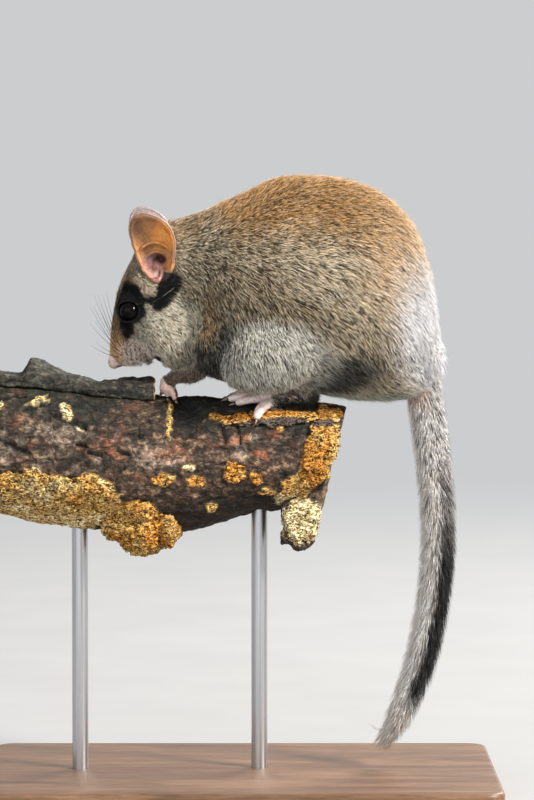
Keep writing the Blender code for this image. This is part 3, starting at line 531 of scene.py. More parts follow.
# The jagged edge: x and its height
PLATE_EDGE = (
    (-77.5, 134.8), (-70.5, 133.6), (-67.8, 133.6), (-66.6, 135.6), (-65.2, 138.6), (-63.4, 138.4),
    (-60.5, 137), (-56.3, 135), (-50, 133), (-44, 130.6), (-42.5, 131.6), (-38, 132.2), (-33, 133),
    (-28.5, 133.4), (-26, 132.4),
)

plate = remeshed(merged_copy("loose_bark", "perch_bark"), PLATE_VOXEL, 2)
points, normals = arrays_of(plate)
flat_top = np.interp(points[:, 0], *zip(*PLATE_ENDS))
share = np.clip((points[:, 2] - flat_top + PLATE_THICK) / PLATE_THICK, 0, 1)
jag = 0.5 * grain(points, (2.5, 6, 20), 24) + 0.3 * grain(points, (0.9, 3, 20), 25)
points[:, 2] += (np.interp(points[:, 0], *zip(*PLATE_EDGE)) + jag - flat_top) * share ** 2
furrows = grain(points, (10, 2.2, 2.2), 21) + 0.6 * grain(points, (4, 1.1, 1.1), 22)
set_points(plate, points + normals * (0.5 * furrows - 0.15)[:, None])
broken = rise(points[:, 0] + 0.6 * grain(points, 2, 23), PLATE_BROKEN_FROM, PLATE_BROKEN_FROM + 1)
colours = layered(even(PLATE_GREY, points), (CRUST_YELLOW, 0.8 * broken * (normals[:, 0] > 0.4)))
cover = 0.8 + 0.18 * rise(grain(points, 4, 26), -0.5, 0.5)
hand_over(tinted(plate, colours, cover), bark, "bark", "perch_bark")


# Thick crusts and lumps of fungus
# Where the crust fungi are thickest they stand off the bark: a strip under the foot, a band along each end, a
# round spot, and a lobed lump below. The broken stub on the end is bark too, with pale old crust on its face.

CRUST_VOXEL = 0.35
CRUST_WANDER = 0.9
BARE_BARK = (0.085, 0.066, 0.055)
# The crust on the stub: x, z, half width, half height and tilt of its oval
STUB_CRUST = (19.4, 88.6, 7.2, 7.6, -14)
STUB_TAPER = 0.22
# The strip's middle line in x and z, with its half height
STRIP = np.array((
    (-8.5, 120.8, 1.7), (-4, 120.8, 2.1), (6, 121.7, 1.5), (16, 122.5, 1.5), (22, 122.5, 2.6),
    (31, 122.3, 2.6),
))
# The end crust's right edge, as z and x, and the gap of bark below its top strip
END_EDGE = ((95, 103.5, 112), (25.5, 29.4, 31.2))
END_TOP, END_GAP = 118, 1.8
# Each crust's node, and how pale it has grown with age
CRUSTS = (
    ("perch_crust_band", 0.52), ("perch_fungus", 0.24), ("perch_crust_spot", 0.2),
    ("perch_crust_strip", 0.15), ("perch_crust_end", 0.2), ("perch_fungus_pale", 1),
)


def stub_form(points):
    """The plain stub drawn out into a blocky, broken piece that tapers downwards."""
    centre = (points.max(0) + points.min(0)) / 2
    half = (points.max(0) - points.min(0)) / 2
    share = (points - centre) / half
    length = np.linalg.norm(share, axis=1, keepdims=True)
    square = share / np.maximum(length, 1e-6)
    square = square / (np.abs(square) ** 4).sum(1, keepdims=True) ** 0.25
    wander = [1.4 * grain(points, 5.5, seed) + 0.7 * grain(points, 2.4, seed + 3) for seed in (84, 85, 86)]
    taper = 1 - STUB_TAPER * rise(-share[:, 2], -0.2, 1)
    points = centre + half * length * square * 0.98 * np.column_stack([taper, taper, np.ones(len(points))])
    return points + np.column_stack(wander) * (0.9, 0.3, 0.9)


crust_finish = Finish("crust_fungus", 0.85, gloss=0.25)
crust_shade, worms = crust_look(crust_finish)
crust_finish.paint(crust_shade)
crust_finish.bump(worms, 0.55, 0.9)
for number, (node, age) in enumerate(CRUSTS, 31):
    growth = remeshed(merged_copy(node.replace("perch_", ""), node), CRUST_VOXEL, 1)
    is_stub = node == "perch_fungus_pale"
    points, normals = arrays_of(growth)
    if is_stub:
        points = stub_form(points)
        set_points(growth, points)
        normals = arrays_of(growth)[1]
    ragged = [grain(points, 2.6, number + k) + 0.5 * grain(points, 1.1, number + k + 3) for k in (60, 70)]
    points = moved(points, *(CRUST_WANDER * shift for shift in ragged))
    grains = grain(points, (1.1, 0.8, 0.8), number) + 0.5 * grain(points, 0.55, number + 10)
    lumps = 0.6 * grain(points, 3.5, number + 20) + 0.35 * grain(points, 1.8, number + 50)
    lumps = lumps * (0.4 if is_stub else 1)
    set_points(growth, points + normals * (GRAIN_HEIGHT * grains + lumps - 0.15)[:, None])
    colours = crust_colour(points, age, number + 30)
    # Painted shade on the low grains and painted highlight on the raised ones
    colours = colours * (0.62 + 0.42 * rise(grains, -0.8, 0.8))[:, None]
    edge = 0.22 * grain(points, 2.5, 81) + 0.15 * grain(points, 0.9, 82)
    bare = np.zeros(len(points))
    if is_stub:
        off_face = fall(-normals[:, 1] + edge, 0, 0.3)
        bare = np.maximum(rise(oval(points, *STUB_CRUST) + edge, 0.95, 1.05), off_face)
    if node == "perch_crust_strip":
        line, half = (np.interp(points[:, 0], STRIP[:, 0], STRIP[:, k]) for k in (1, 2))
        off_line = np.abs(points[:, 2] - line) / half
        bare = rise(off_line + 1.2 * edge, 0.95, 1.1)
        colours = layered(colours, (CRUST_YELLOW, 0.7 * rise(off_line, 0.5, 0.9)))
    if node == "perch_crust_end":
        over = points[:, 0] - np.interp(points[:, 2], *END_EDGE)
        over_top = points[:, 2] + 3 * edge - END_TOP
        gap = rise(over_top, -0.2, 0.2) * fall(over_top, END_GAP - 0.2, END_GAP + 0.2)
        bare = np.maximum(rise(over + 3 * edge, -0.2, 0.2), gap)
        colours = layered(0.86 * colours, (0.9 * np.array(CRUST_YELLOW), rise(over, -4.5, -1)))
    hand_over(tinted(growth, layered(colours, (BARE_BARK, bare))), crust_finish, "crust", node)


# Skin of the body
# One continuous skin, from the nose to the root of the tail and down to the wrists and ankles. It carries the
# same markings as the coat, which grows from it and hides all but the nose, the lips and the ears' hollows.

SIDES = {"left": -1, "right": 1}
FLESH = ["head", "neck", "torso", *(limb + side for limb in ("hindleg_", "foreleg_") for side in SIDES)]
SKIN_VOXEL = 0.38
SEAM_CLOSING = 0.2
# Behind the face the skin lies under deep fur, so it keeps this share of its faces
FACE_BACK, TRUNK_SHARE = -14, 0.14
# Coat colours, linear, and how many of their hairs in ten have a dark tip
TAWNY = (0.43, 0.232, 0.068, 3)
PALE_TAWNY = (0.72, 0.48, 0.255, 2)
BEIGE = (0.6, 0.485, 0.322, 3.7)
OLIVE = (0.37, 0.285, 0.16, 5)
NAPE = (0.43, 0.28, 0.125, 4.5)
# A painted shadow of the thigh over the heel
HEEL_SHADOW = (0.03, 0.028, 0.022, 3)
NECK_GREY = (0.48, 0.39, 0.25, 4.8)
# A painted sheen of light on the rump, pale and silvery
RUMP_SHEEN = (0.93, 0.88, 0.9, 1.3)
# Sooty dark fur, also painted shade in the recesses on both sides of the thigh and behind the cheek
SOOTY_FUR_AND_SHADE = (0.125, 0.122, 0.1, 6.3)
LEG_PALE = (0.615, 0.585, 0.5, 2.4)
BELLY = (0.45, 0.46, 0.36, 2)
RUST = (0.42, 0.275, 0.13, 4)
CHEEK = (0.615, 0.55, 0.415, 2.2)
CREAM = (0.52, 0.42, 0.29, 1.5)
MUZZLE = (0.9, 0.7, 0.58, 0.8)
SNOUT = (0.74, 0.43, 0.19, 0.8)
BROWN = (0.4, 0.235, 0.105, 3.6)
# The forearm's brown, darkened as a painted shadow of the head
SHADED_FOREARM = (0.23, 0.15, 0.112, 3)
# Nearly black: a dark line on the snout before the eye, and painted shade over the crown before the ear
CROWN_SHADE_AND_SNOUT_LINE = (0.08, 0.07, 0.045, 5)
BLACK = (0.003, 0.003, 0.003, 0)
PAD_DARK = (0.04, 0.024, 0.022, 1)
# Soft ovals in the side view, painted in turn: x, z, half width, half height, tilt in degrees, how soft the
# edge is, strength and colour. The dark ovals on both sides of the thigh, at the heel and over the crown are
# painted shade, the dark band behind the cheek is a sooty stripe deepened by painted shade, the forearm's
# oval is a painted shadow of the head, and the pale oval on the rump is a painted sheen.
MARKINGS = (
    (20, 190.5, 36, 14, 0, 0.7, 1, TAWNY), (1, 187, 24, 10, 24, 0.6, 1, TAWNY),
    (36, 186, 25, 10, -30, 0.6, 0.9, TAWNY), (51, 168, 13, 17, 12, 0.7, 0.9, PALE_TAWNY),
    (-14, 170, 11, 12, 25, 0.5, 0.9, NECK_GREY), (2, 158, 13, 15, 0, 0.6, 0.65, OLIVE),
    (-6, 150, 5, 14, -6, 0.6, 0.7, OLIVE), (13, 154, 18, 5.5, -8, 0.6, 0.8, OLIVE),
    (40, 139.5, 15, 7.5, 10, 0.6, 0.6, NECK_GREY), (30.5, 135.8, 11, 5, 12, 0.5, 0.95, SOOTY_FUR_AND_SHADE),
    (25.5, 131.6, 7, 3.6, 30, 0.45, 1, SOOTY_FUR_AND_SHADE), (57, 147, 10.5, 21, 10, 0.6, 1, RUMP_SHEEN),
    (9.6, 140.8, 18.5, 11.8, -6, 0.22, 1, LEG_PALE), (31, 126.6, 34, 3.2, 0, 0.35, 1, BELLY),
    (-36, 163, 4.5, 12, -20, 0.4, 0.9, RUST), (-22, 179, 11, 6, 20, 0.5, 0.8, NAPE),
    (-33.4, 168.6, 2.2, 4.4, -15, 0.4, 0.9, CROWN_SHADE_AND_SNOUT_LINE), (-21.3, 146, 11.3, 12.4, 0, 0.2, 1, CHEEK),
    (-20, 137, 11, 4, 0, 0.4, 0.9, CHEEK), (-9.6, 148.5, 2.3, 11.5, -4, 0.55, 1, RUST),
    (-5.6, 144, 3.2, 9, -15, 0.5, 0.75, SOOTY_FUR_AND_SHADE), (-9.6, 138.4, 4, 6, 25, 0.45, 0.95, SOOTY_FUR_AND_SHADE),
    (-38.6, 149, 2.4, 12, -4, 0.4, 1, BROWN), (-38, 155, 1.3, 5.5, -8, 0.4, 0.6, CROWN_SHADE_AND_SNOUT_LINE),
    (-38.9, 141.2, 2.9, 4.2, 0, 0.35, 1, SNOUT), (-32.8, 140.2, 4.8, 4.9, 0, 0.3, 1, MUZZLE),
    (-30.3, 164.6, 4.8, 3.4, -40, 0.4, 1, CREAM), (-17, 133, 9, 3.6, 0, 0.4, 0.9, SHADED_FOREARM),
    (17.5, 126.2, 10, 3, 0, 0.3, 0.95, HEEL_SHADOW), (-34, 155.2, 4.5, 6.6, -6, 0.12, 1, BLACK),
    (-35.4, 148.4, 2.5, 4.2, 0, 0.14, 1, BLACK), (-28.9, 157.5, 3, 1.7, 0, 0.2, 1, BLACK),
    (-23.3, 159.7, 6.7, 2.8, 57, 0.16, 1, BLACK), (-28.2, 160.4, 1.7, 1.9, 20, 0.3, 1, CREAM),
)
# The black mask leaves the bridge of the snout brown, from this half width inwards
BRIDGE = 4.2
# The bare tip of the nose, where it ends and where the fur is full, and the swelling at its end
NOSE_TIP = (-39.5, 0, 136.3)
NOSE_RADII = (3.1, 3.7)
NOSE_SWELL, NOSE_SWELL_REACH = (-39.2, 0, 136.4), 2.2
NOSE_PINK = (0.74, 0.55, 0.49)
NOSTRIL = (-41, 1.35, 137.2)
# The whisker pad: its oval in the side view and the step between its dark rows
PAD = (-33, 140.2, 4.4, 3.8)
PAD_STEP = 1.45
# The mouth's line in the side view, and the corner where the dark lower lip shows
MOUTH = ((-37.8, 135.8), (-36.2, 135.7), (-34.2, 136), (-32.4, 136.4), (-30.8, 137.2), (-29.4, 138.4))
LIP_CORNER = (-25.4, 138.5, 1.5, 1.3)
# Painted shade for the mouth's cleft and the crease under the nose, the pale ring round the lip's corner, and
# black for the lip's corner, which also paints shade in the nostrils
MOUTH_CLEFT_SHADE, LIP_RING, LIP_BLACK_NOSTRIL_SHADE = (0.06, 0.03, 0.028), (0.3, 0.26, 0.25), (0.018, 0.009, 0.0084)
# The jaw is filled out under the whisker pad and drawn in before the corner: x, z, reach and height
JAW_FORMS = ((-31.2, 137.6, 2, 1.1), (-27.6, 137.4, 1.2, -0.9))
# The hollow under each ear: its oval in the side view, its depth and its colour
EAR_HOLLOW, HOLLOW_DEPTH = (-25.4, 167.2, 5.2, 6.2), 3.6
HOLLOW_PINK = (0.37, 0.275, 0.245)
# Depth of the coat at places on the body: x, distance from the middle plane, z, and the depth
DEPTHS = (
    (-41, 0, 138, 0), (-39, 3, 137, 0.2), (-36, 4, 140, 0.32), (-33, 6, 141, 0.4), (-40, 1, 146, 0.6),
    (-34, 9, 153, 0.35), (-39, 2, 158, 0.9), (-30, 5, 174, 1.3), (-24, 9, 164, 0.8), (-20, 14, 150, 1.6),
    (-28, 4, 140, 0.9), (-18, 8, 138, 1.6), (-8, 12, 178, 2.2), (-4, 20, 150, 2.4), (20, 10, 194, 2.5),
    (20, 27, 160, 2.6), (12, 26, 140, 2.3), (50, 15, 160, 2.7), (60, 5, 140, 2.4), (30, 10, 127, 2.2),
    (-12, 9, 137, 1), (-20, 7, 132.5, 0.4), (15, 10, 131, 1),
)
DEPTH_REACH = 6.5


def folded(points):
    """Points with those of the left side turned over to the right."""
    return np.column_stack([points[:, 0], np.abs(points[:, 1]), points[:, 2]])


def markings(points):
    """The coat's colours at points in mm, alike on both sides, and the share of dark hairs."""
    rows = even(BEIGE, points)
    rows[:, :3] *= (1 - 0.14 * np.abs(grain(points, 6, 51)))[:, None]
    blur = [0.9 * grain(points, 3, seed) + 0.4 * grain(points, 1, seed + 2) for seed in (52, 53)]
    soft = moved(points, *blur)
    for *place, edge, strength, colour in MARKINGS:
        share = strength * fall(oval(soft, *place), 1 - edge, 1 + edge)
        if colour == BLACK:
            share = share * rise(np.abs(points[:, 1]), BRIDGE - 1.5, BRIDGE + 0.5)
        rows = layered(rows, (colour, share))
    waves = np.cos(2 * math.pi * (points[:, 0] + 0.15 * points[:, 2] + 0.2 * blur[0]) / PAD_STEP)
    waves = waves + 0.5 * np.cos(2 * math.pi * (points[:, 2] + 0.2 * blur[1]) / PAD_STEP)
    pad = fall(oval(points, *PAD), 0.6, 1.1)
    rows = layered(rows, (PAD_DARK, 0.9 * pad * rise(waves, 0.45, 1.05)))
    return rows[:, :3], rows[:, 3] / 10


def spread(points, rows, reach):
    """Values given at a few places, spread smoothly over points."""
    one_side = folded(points)
    total, weights = 0, 0
    for row in rows:
        away = ((one_side - np.array(row[:3])) ** 2).sum(1)
        weight = 1 / (away + reach * reach * 0.08) ** 1.6
        total = total + weight[:, None] * np.array(row[3:])
        weights = weights + weight[:, None]
    return total / weights


def from_nose(points):
    """Distance from the tip of the nose, a little less to the sides."""
    return np.linalg.norm((points - NOSE_TIP) * (1, 0.8, 1), axis=1)


skin_finish = Finish("skin", 0.45, gloss=0.4, Subsurface_Weight=0.15, Subsurface_Scale=0.001)
skin_finish.bump(skin_finish.noise(0.35, detail=4), 0.1, 0.7)
skin_finish.paint(tone_of(skin_finish))

skin = merged_copy("skin", *FLESH)
swell = skin.modifiers.new("close_seams", "DISPLACE")
swell.strength = SEAM_CLOSING * MM
swell.mid_level = 0
remeshed(skin, SKIN_VOXEL, 4)
behind_face = arrays_of(skin)[0][:, 0] > FACE_BACK
skin.vertex_groups.new(name="trunk").add(np.flatnonzero(behind_face).tolist(), 1, "REPLACE")
face_share = float((~behind_face).mean())
thin = skin.modifiers.new("thin_trunk", "DECIMATE")
thin.ratio = face_share + (1 - face_share) * TRUNK_SHARE
thin.vertex_group = "trunk"
thin.vertex_group_factor = 1
settled(skin)
skin.vertex_groups.clear()
points, normals = arrays_of(skin)
set_points(skin, points - normals * (spread(points, DEPTHS, DEPTH_REACH) + SEAM_CLOSING))
points, normals = arrays_of(smoothed(skin, 3))
hollow = fall(oval(points, *EAR_HOLLOW), 0.7, 1.1) * (np.abs(points[:, 1]) > 5)
mouth = fall(away_from_line(points, MOUTH), 0.15, 0.8)
mouth = mouth * (points[:, 0] > -39.5) * (points[:, 2] < 144)
jaw = sum(height * np.exp(-oval(points, x, z, reach, reach) ** 2) for x, z, reach, height in JAW_FORMS)
nostrils = fall(np.linalg.norm(folded(points) - NOSTRIL, axis=1), 0.25, 0.95)
tip_swell = np.exp(-(np.linalg.norm(points - NOSE_SWELL, axis=1) / NOSE_SWELL_REACH) ** 2)
crease = fall(np.abs(points[:, 1]), 0.05, 0.45) * (points[:, 0] < -38.5) * (points[:, 2] < 138.2)
press = 0.5 * mouth + 0.8 * nostrils + 0.25 * crease - 0.8 * tip_swell - jaw
points = points - normals * press[:, None]
points[:, 1] -= np.sign(points[:, 1]) * hollow * HOLLOW_DEPTH
set_points(skin, points)
points = arrays_of(skin)[0]
lip = oval(points, *LIP_CORNER)
# The mouth's line, the crease under the nose and the nostrils are darkened as painted shade
colours = layered(
    markings(points)[0] * 0.5, (NOSE_PINK, fall(from_nose(points), *NOSE_RADII)),
    (MOUTH_CLEFT_SHADE, 0.85 * mouth), (LIP_RING, fall(lip, 1.1, 1.5)),
    (LIP_BLACK_NOSTRIL_SHADE, np.maximum(0.8 * nostrils, fall(lip, 0.6, 0.9))), (HOLLOW_PINK, hollow),
    (MOUTH_CLEFT_SHADE, 0.5 * crease),
)
hand_over(tinted(skin, colours), skin_finish, "fur_brown", *FLESH, "tail_root")


# Eyes and lids
# Each eye is a wet black bead that fills its socket. A narrow, hairless, nearly black lid lies on it all
# round and leaves a slightly flattened opening.

EYE_LOOK = (-0.32, 0.93, 0.14)
# The lid's distance from the middle of the eye, its radius, its thickness and how flat its opening is
LID_OUT, LID_RADIUS, LID_THICK, LID_FLATTEN = 0.7, 3.06, 0.22, 0.95
LID_GREY = (0.004, 0.003, 0.003)

eye_finish = Finish("wet_eye", 0.04, gloss=0.09)
mottle = eye_finish.noise(1.5)
eye_finish.paint(eye_finish.ramp(mottle, (0.3, (0.001, 0.0008, 0.0008)), (0.7, (0.004, 0.0026, 0.0022))))
lid_finish = Finish("lid_skin", 0.6, gloss=0.1)
folds = lid_finish.ramp(lid_finish.noise(0.5), (0.3, 0.7), (0.7, 1.3))
lid_finish.paint(lid_finish.times(tone_of(lid_finish), folds))
eyes = []
for side, way in SIDES.items():
    low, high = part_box("eye_" + side)
    radius, centre = (high.x - low.x) / 2, (low + high) / 2
    eyes.append(np.array(centre) / MM)
    bm = bmesh.new()
    middle = Matrix.Translation(centre)
    bmesh.ops.create_uvsphere(bm, u_segments=48, v_segments=32, radius=radius, matrix=middle)
    hand_over(piece_from("eyeball_" + side, bm), eye_finish, "eye_black", "eye_" + side)
    bm = bmesh.new()
    section = Matrix.Translation((LID_RADIUS * MM, 0, 0)) @ Matrix.Rotation(math.pi / 2, 4, "X")
    bmesh.ops.create_circle(bm, segments=12, radius=LID_THICK * MM, matrix=section)
    bmesh.ops.spin(
        bm, geom=bm.verts[:] + bm.edges[:], cent=(0, 0, 0), axis=(0, 0, 1), angle=2 * math.pi, steps=64,
        use_merge=True,
    )
    look = Vector((EYE_LOOK[0], way * EYE_LOOK[1], EYE_LOOK[2])).normalized()
    up = (Vector((0, 0, 1)) - look * look.z).normalized()
    turned = Matrix((up.cross(look), up, look)).transposed().to_4x4()
    flatten = Matrix.Diagonal((1, LID_FLATTEN, 1, 1))
    bm.transform(Matrix.Translation(centre + look * LID_OUT * MM) @ turned @ flatten)
    bmesh.ops.recalc_face_normals(bm, faces=bm.faces)
    lid = piece_from("eyelid_" + side, bm)
    hand_over(tinted(lid, even(LID_GREY, lid.data.vertices)), lid_finish, "eye_black")
eye_radius = radius / MM


# Feet
# Bare, soft, pale pink skin over fine bones, creased across each toe joint and padded below. The hind feet
# are the longer ones, and their outer toe hangs over the edge of the branch.

# How much fuller the bare skin is than the CAD foot, and its tone: the hands are darker and browner, as a
# painted shadow of the head over them
FEET = {"forefoot_": (0, (0.62, 0.52, 0.48)), "hindfoot_": (0.22, (1, 1, 1))}

foot_finish = Finish("pink_skin", 0.4, gloss=0.45, Subsurface_Weight=0.3, Subsurface_Scale=0.0015)
creases = foot_finish.noise(0.55, (1.8, 0.5, 1), detail=5, roughness=0.6)
blush = foot_finish.noise(2.2, detail=4)
pinks = foot_finish.ramp(
    blush, (0.36, (0.84, 0.61, 0.55)), (0.5, (0.89, 0.73, 0.68)), (0.66, (0.92, 0.83, 0.79)),
)
folds = foot_finish.ramp(creases, (0.34, (0.66, 0.48, 0.45)), (0.44, (1, 0.99, 0.99)), (0.6, 1.03))
foot_finish.paint(foot_finish.times(foot_finish.times(pinks, tone_of(foot_finish)), folds))
foot_finish.bump(creases, 0.22, 0.8)
feet = {}
for (limb, (fuller, tone)), side in itertools.product(FEET.items(), SIDES):
    foot = merged_copy("bare_" + limb + side, limb + side)
    rounded = foot.modifiers.new("rounded", "SUBSURF")
    rounded.levels = rounded.render_levels = 2
    full = foot.modifiers.new("full", "DISPLACE")
    full.strength = fuller * MM
    full.mid_level = 0
    settled(foot)
    tinted(foot, even(tone, foot.data.vertices))
    feet[limb + side] = hand_over(foot, foot_finish, "paw_skin", limb + side)


# Claws
# Small curved hooks of horn, brown and a little see-through, one past the end of each digit: four on a hand
# and five on a foot. They press into the bark.

claw_finish = Finish("claw_horn", 0.3, Subsurface_Weight=0.2, Subsurface_Scale=0.0005)
streaks = claw_finish.noise(0.6)
claw_finish.paint(claw_finish.ramp(streaks, (0.3, (0.16, 0.1, 0.07)), (0.7, (0.36, 0.27, 0.21))))
for (limb, count), side in itertools.product((("fore", 4), ("hind", 5)), SIDES):
    nodes = ["claw_%s_%s_%d" % (limb, side, number) for number in range(1, count + 1)]
    claws = merged_copy("claws_%s_%s" % (limb, side), *nodes)
    rounded = claws.modifiers.new("rounded", "SUBSURF")
    rounded.levels = rounded.render_levels = 2
    hand_over(claws, claw_finish, "claw_horn", *nodes)


# Ears
# Large thin cups of nearly bare skin, open to the side: orange-brown inside where light comes through, pink
# where they fold into the head, and pale lilac behind. Two low ridges, with painted highlight on them and
# painted shade below, cross each cup above the ear hole, which is painted dark as shade.

EAR_THICK = 0.45
EAR_GRID = 84
EAR_CENTRE = (-26.8, 172)
# How far the cup's rim stands from the middle plane, how much further upwards and backwards, and its depth
EAR_OUT, EAR_LEAN_UP, EAR_LEAN_BACK, EAR_BOWL = 11.7, 0.2, 0.26, 3
# How far the right ear stands from the left one's mirror image in x and z, and how much narrower it is
RIGHT_EAR_SHIFT, RIGHT_EAR_NARROW = (-0.7, 2), 0.1
# The ear's outline in the side view, x and z
EAR_OUTLINE = (
    (-33.7, 181), (-34.1, 178.5), (-33.4, 175.4), (-32.5, 172.3), (-31.6, 169.2), (-30.4, 166.7),
    (-29, 164.5), (-27.2, 162.6), (-25.4, 161.6), (-24.4, 162.6), (-23.5, 166.4), (-22.2, 165.3),
    (-21, 165.4), (-20.3, 167.2), (-20.2, 169.5), (-19.9, 173), (-20.2, 176.3), (-21.2, 178.8),
    (-23.1, 180.8), (-25, 182.2), (-27.5, 183.3), (-30, 183.5), (-32.3, 182.8),
)
# Lumps and hollows of the cup: x, z, half width, half height, and how far it stands out
EAR_FORMS = (
    (-25.3, 167.6, 3, 3.2, -2), (-24.2, 169.8, 1.5, 1.2, -2.2), (-25.2, 163.9, 1.7, 1.3, 1.3),
    (-24.5, 165.6, 0.8, 0.5, 0.7), (-26.1, 165.6, 0.5, 1, 0.6), (-25.1, 162.8, 0.5, 0.8, 0.5),
    (-27.2, 167.6, 0.5, 1.6, 0.5), (-27.6, 164.4, 1.3, 1.5, 0.9), (-30.2, 168.8, 0.6, 4.2, 0.7),
    (-21.4, 166.2, 1.4, 2.2, 1.3), (-22.6, 170, 1, 2.6, 0.7),
)
# Ridges across the cup: the x and z of each arc's top, its drop, half length, half width and height
EAR_RIDGES = ((-26.2, 174.5, 0.1, 5.4, 0.55, 1.7), (-25.7, 171.7, 0.15, 3.9, 0.5, 1.5))
# Painted highlight along each ridge and painted shade just below it
RIDGE_HIGHLIGHT, RIDGE_SHADE = (0.64, 0.33, 0.15), (0.18, 0.075, 0.035)
EAR_INSIDE, EAR_BACK, EAR_EDGE = (0.34, 0.165, 0.058), (0.23, 0.19, 0.195), (0.33, 0.18, 0.105)
# Colours inside the ear: x, z, half width, half height and colour. The near-black spot is painted shade in
# the ear hole, the palest pink spot is a painted highlight on the lobe, and the two thin dark-red lines are
# painted shade in its creases.
EAR_TINTS = (
    (-23.5, 176, 4.5, 5.5, (0.64, 0.285, 0.062)), (-33.5, 180, 3.5, 5.5, (0.16, 0.085, 0.042)),
    (-27, 182.5, 6, 1.6, (0.3, 0.17, 0.09)), (-30.5, 170, 2.5, 5.5, (0.4, 0.19, 0.07)),
    (-26.5, 167, 4.2, 4, (0.56, 0.3, 0.25)), (-27.3, 169.8, 2.4, 1.4, (0.42, 0.29, 0.3)),
    (-24.5, 169.5, 3, 2, (0.04, 0.012, 0.008)), (-21.5, 168, 1.4, 3.5, (0.48, 0.21, 0.07)),
    (-25, 163.6, 2, 1.6, (0.64, 0.36, 0.33)), (-25.8, 165.2, 0.8, 0.9, (0.82, 0.6, 0.58)),
    (-26.3, 163.5, 1.3, 0.32, (0.26, 0.07, 0.06)), (-24.8, 165, 0.34, 1.5, (0.26, 0.07, 0.06)),
)

ear_finish = Finish("ear_skin", 0.42, gloss=0.4, Subsurface_Weight=0.25, Subsurface_Scale=0.0012)
veins = ear_finish.noise(1.8, detail=8, roughness=0.62, distortion=1.2)
veins = ear_finish.ramp(veins, (0.36, (0.72, 0.62, 0.56)), (0.52, 1), (0.66, (1.12, 1.12, 1.1)))
ear_finish.paint(ear_finish.times(tone_of(ear_finish), veins))
ear_finish.bump(ear_finish.noise(0.22, (1, 1, 0.25)), 0.08, 0.6)


def ear_bowl(flat, reach):
    """How far the flat ear's points stand from the middle plane, and its ridges' painted highlight and shade.
    """
    x, z = flat[:, 0], flat[:, 2]
    out = EAR_OUT + EAR_LEAN_UP * (z - EAR_CENTRE[1]) + EAR_LEAN_BACK * (x + 27)
    out = out - EAR_BOWL * (1 - reach ** 2.5)
    for *place, stand in EAR_FORMS:
        out = out + stand * np.exp(-oval(flat, *place) ** 2)
    light, dark = np.zeros(len(x)), np.zeros(len(x))
    for top_x, top_z, drop, half, wide, stand in EAR_RIDGES:
        off = (z - top_z + drop * (x - top_x) ** 2) / wide
        within = fall(np.abs(x - top_x), 0.6 * half, half)
        out = out + stand * np.exp(-off * off) * within
        light = np.maximum(light, np.exp(-off * off) * within)
        dark = np.maximum(dark, np.exp(-(off + 1.7) ** 2) * within)
    return out + 0.5 * rise(reach, 0.78, 0.9) - 0.7 * rise(reach, 0.9, 1), light, dark


skin_tree = BVHTree.FromObject(skin, bpy.context.evaluated_depsgraph_get())


def skin_hit(x, z, way):
    """Where a line across the body meets the skin on one side."""
    return skin_tree.ray_cast(Vector((x, way * 60, z)) * MM, Vector((0, -way, 0)))[0]


rim_x, rim_z = (np.array(EAR_OUTLINE) - np.array(EAR_CENTRE)).T
order = np.argsort(np.arctan2(rim_z, rim_x))
rim_turns, rim_reach = np.arctan2(rim_z, rim_x)[order], np.hypot(rim_x, rim_z)[order]
for side, way in SIDES.items():
    bm = bmesh.new()
    bmesh.ops.create_grid(bm, x_segments=EAR_GRID, y_segments=EAR_GRID, size=1)
    ear = piece_from("ear_cup_" + side, bm)
    square = arrays_of(ear)[0] * MM
    disc = square[:, :2] * np.sqrt(1 - square[:, 1::-1] ** 2 / 2)
    reach = np.hypot(*disc.T)
    turn = np.arctan2(disc[:, 1], disc[:, 0])
    outline = np.interp(turn, rim_turns, rim_reach, period=2 * math.pi)
    wave = 0.012 * np.sin(7 * turn) * reach ** 4
    x, z = (EAR_CENTRE[k] + disc[:, k] * outline * (1 + wave) for k in (0, 1))
    flat = np.column_stack([x, np.zeros(len(x)), z])
    out, light, dark = ear_bowl(flat, reach)
    lowest = EAR_CENTRE[1]
    if side == "right":
        x, z, lowest = x + RIGHT_EAR_SHIFT[0], z + RIGHT_EAR_SHIFT[1], lowest + RIGHT_EAR_SHIFT[1]
        x = x - RIGHT_EAR_NARROW * (x - x.min())
    for number in np.flatnonzero(z < lowest):
        hit = skin_hit(x[number], z[number], way)
        if hit is not None:
            out[number] = max(out[number], abs(hit.y) / MM + 0.12)
    set_points(ear, np.column_stack([x, way * out, z]))
    if way == 1:
        ear.data.flip_normals()
    thick = ear.modifiers.new("thick", "SOLIDIFY")
    thick.thickness = EAR_THICK * MM
    thick.offset = -1
    settled(ear)
    tints = [(tint, fall(oval(flat, *place), 0.35, 1.3)) for *place, tint in EAR_TINTS]
    # Painted shade below the ridges and painted highlight on them
    tints += [(RIDGE_SHADE, 0.6 * dark), (RIDGE_HIGHLIGHT, 0.5 * light)]
    colours = even(EAR_BACK, ear.data.vertices)
    colours[:len(flat)] = layered(even(EAR_INSIDE, flat), *tints, (EAR_EDGE, 0.8 * rise(reach, 0.95, 0.99)))
    hand_over(tinted(ear, colours), ear_finish, "ear_skin", "ear_" + side)


# Tail skin
# The tail's core: a thin flexible column of bone under brown skin, which grows from the rump and tapers to
# its tip. The brush of the tail hides all of it.

TAIL_CORE, TAIL_CORE_TIP = 2.2, 0.5
TAIL_BROWN = (0.2, 0.13, 0.1)
# The tail's middle line from inside the rump down to its tip: x and z
TAIL_LINE = np.array((
    (48, 146), (53, 139.5), (56.3, 133), (57.6, 127), (58.9, 118), (60.3, 106.6), (61.5, 94.1), (61.9, 81.6),
    (61.2, 69.1), (59.4, 56.6), (56.6, 44.1), (52.8, 33.2), (49.1, 24.8), (46.6, 21),
))


